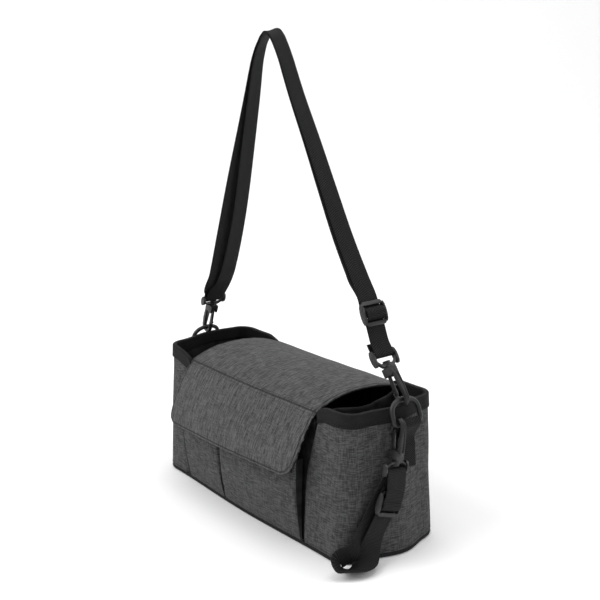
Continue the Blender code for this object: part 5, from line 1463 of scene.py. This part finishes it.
def photo_camera():
    """A camera at the photograph's place."""
    a, e = math.radians(VIEW_AZIMUTH), math.radians(VIEW_ELEVATION)
    back = Vector((math.sin(a) * math.cos(e), -math.cos(a) * math.cos(e), math.sin(e)))
    right = (-back).cross(Vector((0, 0, 1))).normalized()
    up = right.cross(-back)
    roll = math.radians(VIEW_ROLL)
    turned = Matrix((right * math.cos(roll) + up * math.sin(roll),
                     -right * math.sin(roll) + up * math.cos(roll), back)).transposed().to_4x4()
    turned.translation = Vector(VIEW_TARGET) + back * VIEW_DISTANCE
    camera = shown("photo_view", bpy.data.cameras.new("photo_view"))
    camera.data.lens, camera.data.sensor_width = VIEW_LENS, VIEW_SENSOR
    camera.matrix_world = turned
    bpy.context.scene.camera = camera


# Settings
class StrollerBagSizes(bpy.types.PropertyGroup):
    """Sizes of the trimmings."""
    stitch_pitch: bpy.props.FloatProperty(
        name="Stitch pitch", description="Distance from stitch to stitch",
        default=0.0030, min=0.001, unit="LENGTH")
    stitch_length: bpy.props.FloatProperty(
        name="Stitch length", description="Length of a stitch",
        default=0.0023, min=0.0005, unit="LENGTH")
    thread_width: bpy.props.FloatProperty(
        name="Thread width", description="Thickness of the thread",
        default=0.0005, min=0.0001, unit="LENGTH")
    tape_rib: bpy.props.FloatProperty(
        name="Tape rib", description="Pitch of the binding tape's ribs",
        default=0.0017, min=0.0005, unit="LENGTH")
    web_rib: bpy.props.FloatProperty(
        name="Webbing rib", description="Pitch of the webbing's ribs",
        default=0.0024, min=0.0005, unit="LENGTH")
    moulded_edge: bpy.props.FloatProperty(
        name="Moulded edge", description="Radius of the buckles' edges",
        default=0.0005, min=0.0001, unit="LENGTH")


class StrollerBagColours(bpy.types.PropertyGroup):
    """Colours of the cloths, webbing and plastic."""
    body: bpy.props.FloatVectorProperty(
        name="Body cloth", description="Mean colour of the body's melange",
        subtype="COLOR", default=(0.054, 0.054, 0.0545))
    # The flap's colour is lighter than the body's: partly its own cloth, partly painted light on
    # the flap's top
    flap: bpy.props.FloatVectorProperty(
        name="Flap cloth", description="Mean colour of the flap's melange",
        subtype="COLOR", default=(0.064, 0.064, 0.0645))
    lining: bpy.props.FloatVectorProperty(
        name="Lining", description="Colour of the lining",
        subtype="COLOR", default=(0.0055, 0.0055, 0.0058))
    webbing: bpy.props.FloatVectorProperty(
        name="Webbing", description="Colour of the straps",
        subtype="COLOR", default=(0.0075, 0.0075, 0.0078))
    tape: bpy.props.FloatVectorProperty(
        name="Binding tape", description="Colour of the rims' tape",
        subtype="COLOR", default=(0.0105, 0.0105, 0.0108))
    plastic: bpy.props.FloatVectorProperty(
        name="Plastic", description="Colour of the buckles",
        subtype="COLOR", default=(0.0110, 0.0110, 0.0113))
    piping: bpy.props.FloatVectorProperty(
        name="Piping", description="Colour of the base piping",
        subtype="COLOR", default=(0.0120, 0.0120, 0.0125))
    floor: bpy.props.FloatVectorProperty(
        name="Floor", description="Colour of the studio floor",
        subtype="COLOR", default=(0.92, 0.92, 0.92))


# Operators
class STROLLERBAG_OT_finishes(bpy.types.Operator):
    """Make the cloth, webbing, plastic and thread materials"""
    bl_idname = "stroller_bag.finishes"
    bl_label = "Materials"

    def execute(self, context):
        sizes, colours = context.scene.stroller_bag_sizes, context.scene.stroller_bag_colours
        FINISHES.update({
            "melange": melange_cloth("melange_cloth", tuple(colours.body), 0.50, 0.34),
            # The flap's melange is lighter than the body's, partly as painted light on its top
            "melange_flap": melange_cloth("melange_flap_cloth", tuple(colours.flap), 0.26, 0.58),
            "black_lining": lining_cloth("black_lining_cloth", tuple(colours.lining)),
            "black_webbing": ribbed_webbing("shoulder_webbing_weave", tuple(colours.webbing),
                                            sizes.web_rib, 0.55),
            # The stroller loops use the straps' webbing painted 1.4 times lighter: painted light on
            # their lit front strips
            "lit_loop_webbing": ribbed_webbing("loop_webbing_weave", shade(colours.webbing, 1.4),
                                           LOOP_RIB, 0.0),
            "tape": ribbed_webbing("binding_tape_weave", shade(colours.tape, 0.75),
                                   sizes.tape_rib, 0.9),
            "piping": ribbed_webbing("piping_cloth", tuple(colours.piping), PIPING_RIB, 0.5),
            "black_plastic": moulded_plastic("satin_plastic", tuple(colours.plastic)),
            "thread": thread_finish("sewing_thread", (0.010, 0.010, 0.011)),
            "floor": floor_finish("studio_floor", tuple(colours.floor)),
        })
        return {"FINISHED"}


class STROLLERBAG_OT_body(bpy.types.Operator):
    """Sew the end walls, the front, the back, the base and its piping"""
    bl_idname = "stroller_bag.body"
    bl_label = "Body"

    def execute(self, context):
        for side in SIDES:
            end_wall(side)
        top = float(flap_height(-SEAM_Y)) - 3 * (FLAP_CLOTH + LINING)
        # The front wall is given black lining as painted shade in the recess beside the front
        # pocket
        flat_wall("painted_shade_front_cloth", "front_wall", DIVIDER_X - WALL / 2 - GAP,
                  np.linspace(WALL_FOOT, top, 40),
                  front_point, -(WALL + GAP), 1.0, ["black_lining"], "melange")
        flat_wall("back_cloth", "back_wall", DIVIDER_X + WALL - GAP,
                  np.linspace(WALL_FOOT, RIM - BACK_DROP - BACK_TURN, 60),
                  back_point, 0.0, -1.0, ["melange", "black_lining"], "melange")
        base_cloth()
        base_cord()
        return {"FINISHED"}


class STROLLERBAG_OT_linings(bpy.types.Operator):
    """Hang the linings and the dividers"""
    bl_idname = "stroller_bag.linings"
    bl_label = "Linings"

    def execute(self, context):
        main_lining()
        for side in SIDES:
            divider_cloth(side)
            pocket_lining(side)
        return {"FINISHED"}


class STROLLERBAG_OT_bindings(bpy.types.Operator):
    """Fold the tapes over the end pockets' rims"""
    bl_idname = "stroller_bag.bindings"
    bl_label = "Rim tapes"

    def execute(self, context):
        for side in SIDES:
            rim_tape(side)
        return {"FINISHED"}


class STROLLERBAG_OT_front_pocket(bpy.types.Operator):
    """Make the pleated front pocket and its tape"""
    bl_idname = "stroller_bag.front_pocket"
    bl_label = "Front pocket"

    def execute(self, context):
        front_pocket()
        pocket_tape()
        for node in ("pocket_fastener", "flap_fastener"):
            data = frame["nodes"][node].data
            data.materials.clear()
            data.materials.append(FINISHES["piping"])
        return {"FINISHED"}


class STROLLERBAG_OT_flap(bpy.types.Operator):
    """Make the flap and its lining"""
    bl_idname = "stroller_bag.flap"
    bl_label = "Flap"

    def execute(self, context):
        flap()
        return {"FINISHED"}


class STROLLERBAG_OT_rings(bpy.types.Operator):
    """Make the end rings and the tabs that hold them"""
    bl_idname = "stroller_bag.rings"
    bl_label = "Rings and tabs"

    def execute(self, context):
        for side in SIDES:
            end_ring(side)
            ring_tab(side)
        return {"FINISHED"}


class STROLLERBAG_OT_hooks(bpy.types.Operator):
    """Make the snap hooks, their gates and webbing frames"""
    bl_idname = "stroller_bag.hooks"
    bl_label = "Snap hooks"

    def execute(self, context):
        edge = context.scene.stroller_bag_sizes.moulded_edge
        for side in SIDES:
            for kind, place in (("strap", strap_hook_place(side)),
                                ("stroller", stroller_hook_place(side))):
                frame_shape = (1.0, FRAME_STRETCH.get((kind, side), 1.0),
                               FRAME_SINK.get((kind, side), 0.0))
                for part, edge_share, *shape in (("hook", 1.0, HOOK_SWELL), ("gate", 0.6),
                                                 ("frame", 1.0, *frame_shape)):
                    moulding(f"{kind}_{part}_{side}", f"{kind}_{part}_moulding_{side}",
                             edge * edge_share, place, *shape)
                hook_ridges(kind, side, place)
        return {"FINISHED"}


class STROLLERBAG_OT_sliders(bpy.types.Operator):
    """Make the three-bar sliders"""
    bl_idname = "stroller_bag.sliders"
    bl_label = "Sliders"

    def execute(self, context):
        edge = context.scene.stroller_bag_sizes.moulded_edge
        for node in ("shoulder_slider", "stroller_slider_right", "stroller_slider_left"):
            moulding(node, node + "_moulding", edge)
        return {"FINISHED"}


class STROLLERBAG_OT_shoulder_strap(bpy.types.Operator):
    """Weave the shoulder strap"""
    bl_idname = "stroller_bag.shoulder_strap"
    bl_label = "Shoulder strap"

    def execute(self, context):
        shoulder_strap()
        return {"FINISHED"}


class STROLLERBAG_OT_stroller_straps(bpy.types.Operator):
    """Weave the stroller straps"""
    bl_idname = "stroller_bag.stroller_straps"
    bl_label = "Stroller straps"

    def execute(self, context):
        for side in SIDES:
            stroller_strap(side)
        return {"FINISHED"}


class STROLLERBAG_OT_stitching(bpy.types.Operator):
    """Sew the visible rows of stitches"""
    bl_idname = "stroller_bag.stitching"
    bl_label = "Stitching"

    def execute(self, context):
        sizes = context.scene.stroller_bag_sizes
        tree = stitch_tree()
        measures = (sizes.stitch_pitch, sizes.stitch_length, sizes.thread_width)
        stitches("flap_stitches", flap_stitch_lines(), "bag", tree, *measures)
        for side in SIDES:
            stitches("rim_stitches_" + side, rim_stitch_lines(side), "bag", tree, *measures)
        stitches("base_stitches", base_stitch_lines(), "bag", tree, *measures)
        return {"FINISHED"}


class STROLLERBAG_OT_stage(bpy.types.Operator):
    """Set the floor, the lights and the camera"""
    bl_idname = "stroller_bag.stage"
    bl_label = "Stage"

    def execute(self, context):
        scene = context.scene
        scene.view_settings.view_transform = "Standard"
        world = bpy.data.worlds.new("studio")
        world.use_nodes = True
        background = world.node_tree.nodes["Background"]
        background.inputs["Color"].default_value = (1.0, 1.0, 1.0, 1.0)
        background.inputs["Strength"].default_value = WORLD_STRENGTH
        scene.world = world
        studio_floor()
        studio_lamps()
        photo_camera()
        return {"FINISHED"}


STEPS = (STROLLERBAG_OT_finishes, STROLLERBAG_OT_stage, STROLLERBAG_OT_body,
         STROLLERBAG_OT_linings, STROLLERBAG_OT_bindings, STROLLERBAG_OT_front_pocket,
         STROLLERBAG_OT_flap, STROLLERBAG_OT_rings, STROLLERBAG_OT_hooks, STROLLERBAG_OT_sliders,
         STROLLERBAG_OT_shoulder_strap, STROLLERBAG_OT_stroller_straps, STROLLERBAG_OT_stitching)


class STROLLERBAG_PT_panel(bpy.types.Panel):
    """The bag's pieces, sizes and colours"""
    bl_idname = "STROLLERBAG_PT_panel"
    bl_label = "Stroller bag"
    bl_space_type = "VIEW_3D"
    bl_region_type = "UI"
    bl_category = "Stroller bag"

    def draw(self, context):
        for step in STEPS:
            self.layout.operator(step.bl_idname)
        for group in (context.scene.stroller_bag_sizes, context.scene.stroller_bag_colours):
            for key in group.__annotations__:
                self.layout.prop(group, key)


CLASSES = (StrollerBagSizes, StrollerBagColours, *STEPS, STROLLERBAG_PT_panel)


def register():
    for each in CLASSES:
        bpy.utils.register_class(each)
    bpy.types.Scene.stroller_bag_sizes = bpy.props.PointerProperty(type=StrollerBagSizes)
    bpy.types.Scene.stroller_bag_colours = bpy.props.PointerProperty(type=StrollerBagColours)


def unregister():
    del bpy.types.Scene.stroller_bag_colours
    del bpy.types.Scene.stroller_bag_sizes
    for each in reversed(CLASSES):
        bpy.utils.unregister_class(each)


def main():
    register()
    bpy.ops.stroller_bag.finishes()
    bpy.ops.stroller_bag.stage()
    bpy.ops.stroller_bag.body()
    bpy.ops.stroller_bag.linings()
    bpy.ops.stroller_bag.bindings()
    bpy.ops.stroller_bag.front_pocket()
    bpy.ops.stroller_bag.flap()
    bpy.ops.stroller_bag.rings()
    bpy.ops.stroller_bag.hooks()
    bpy.ops.stroller_bag.sliders()
    bpy.ops.stroller_bag.shoulder_strap()
    bpy.ops.stroller_bag.stroller_straps()
    bpy.ops.stroller_bag.stitching()


if __name__ == "__main__":
    main()
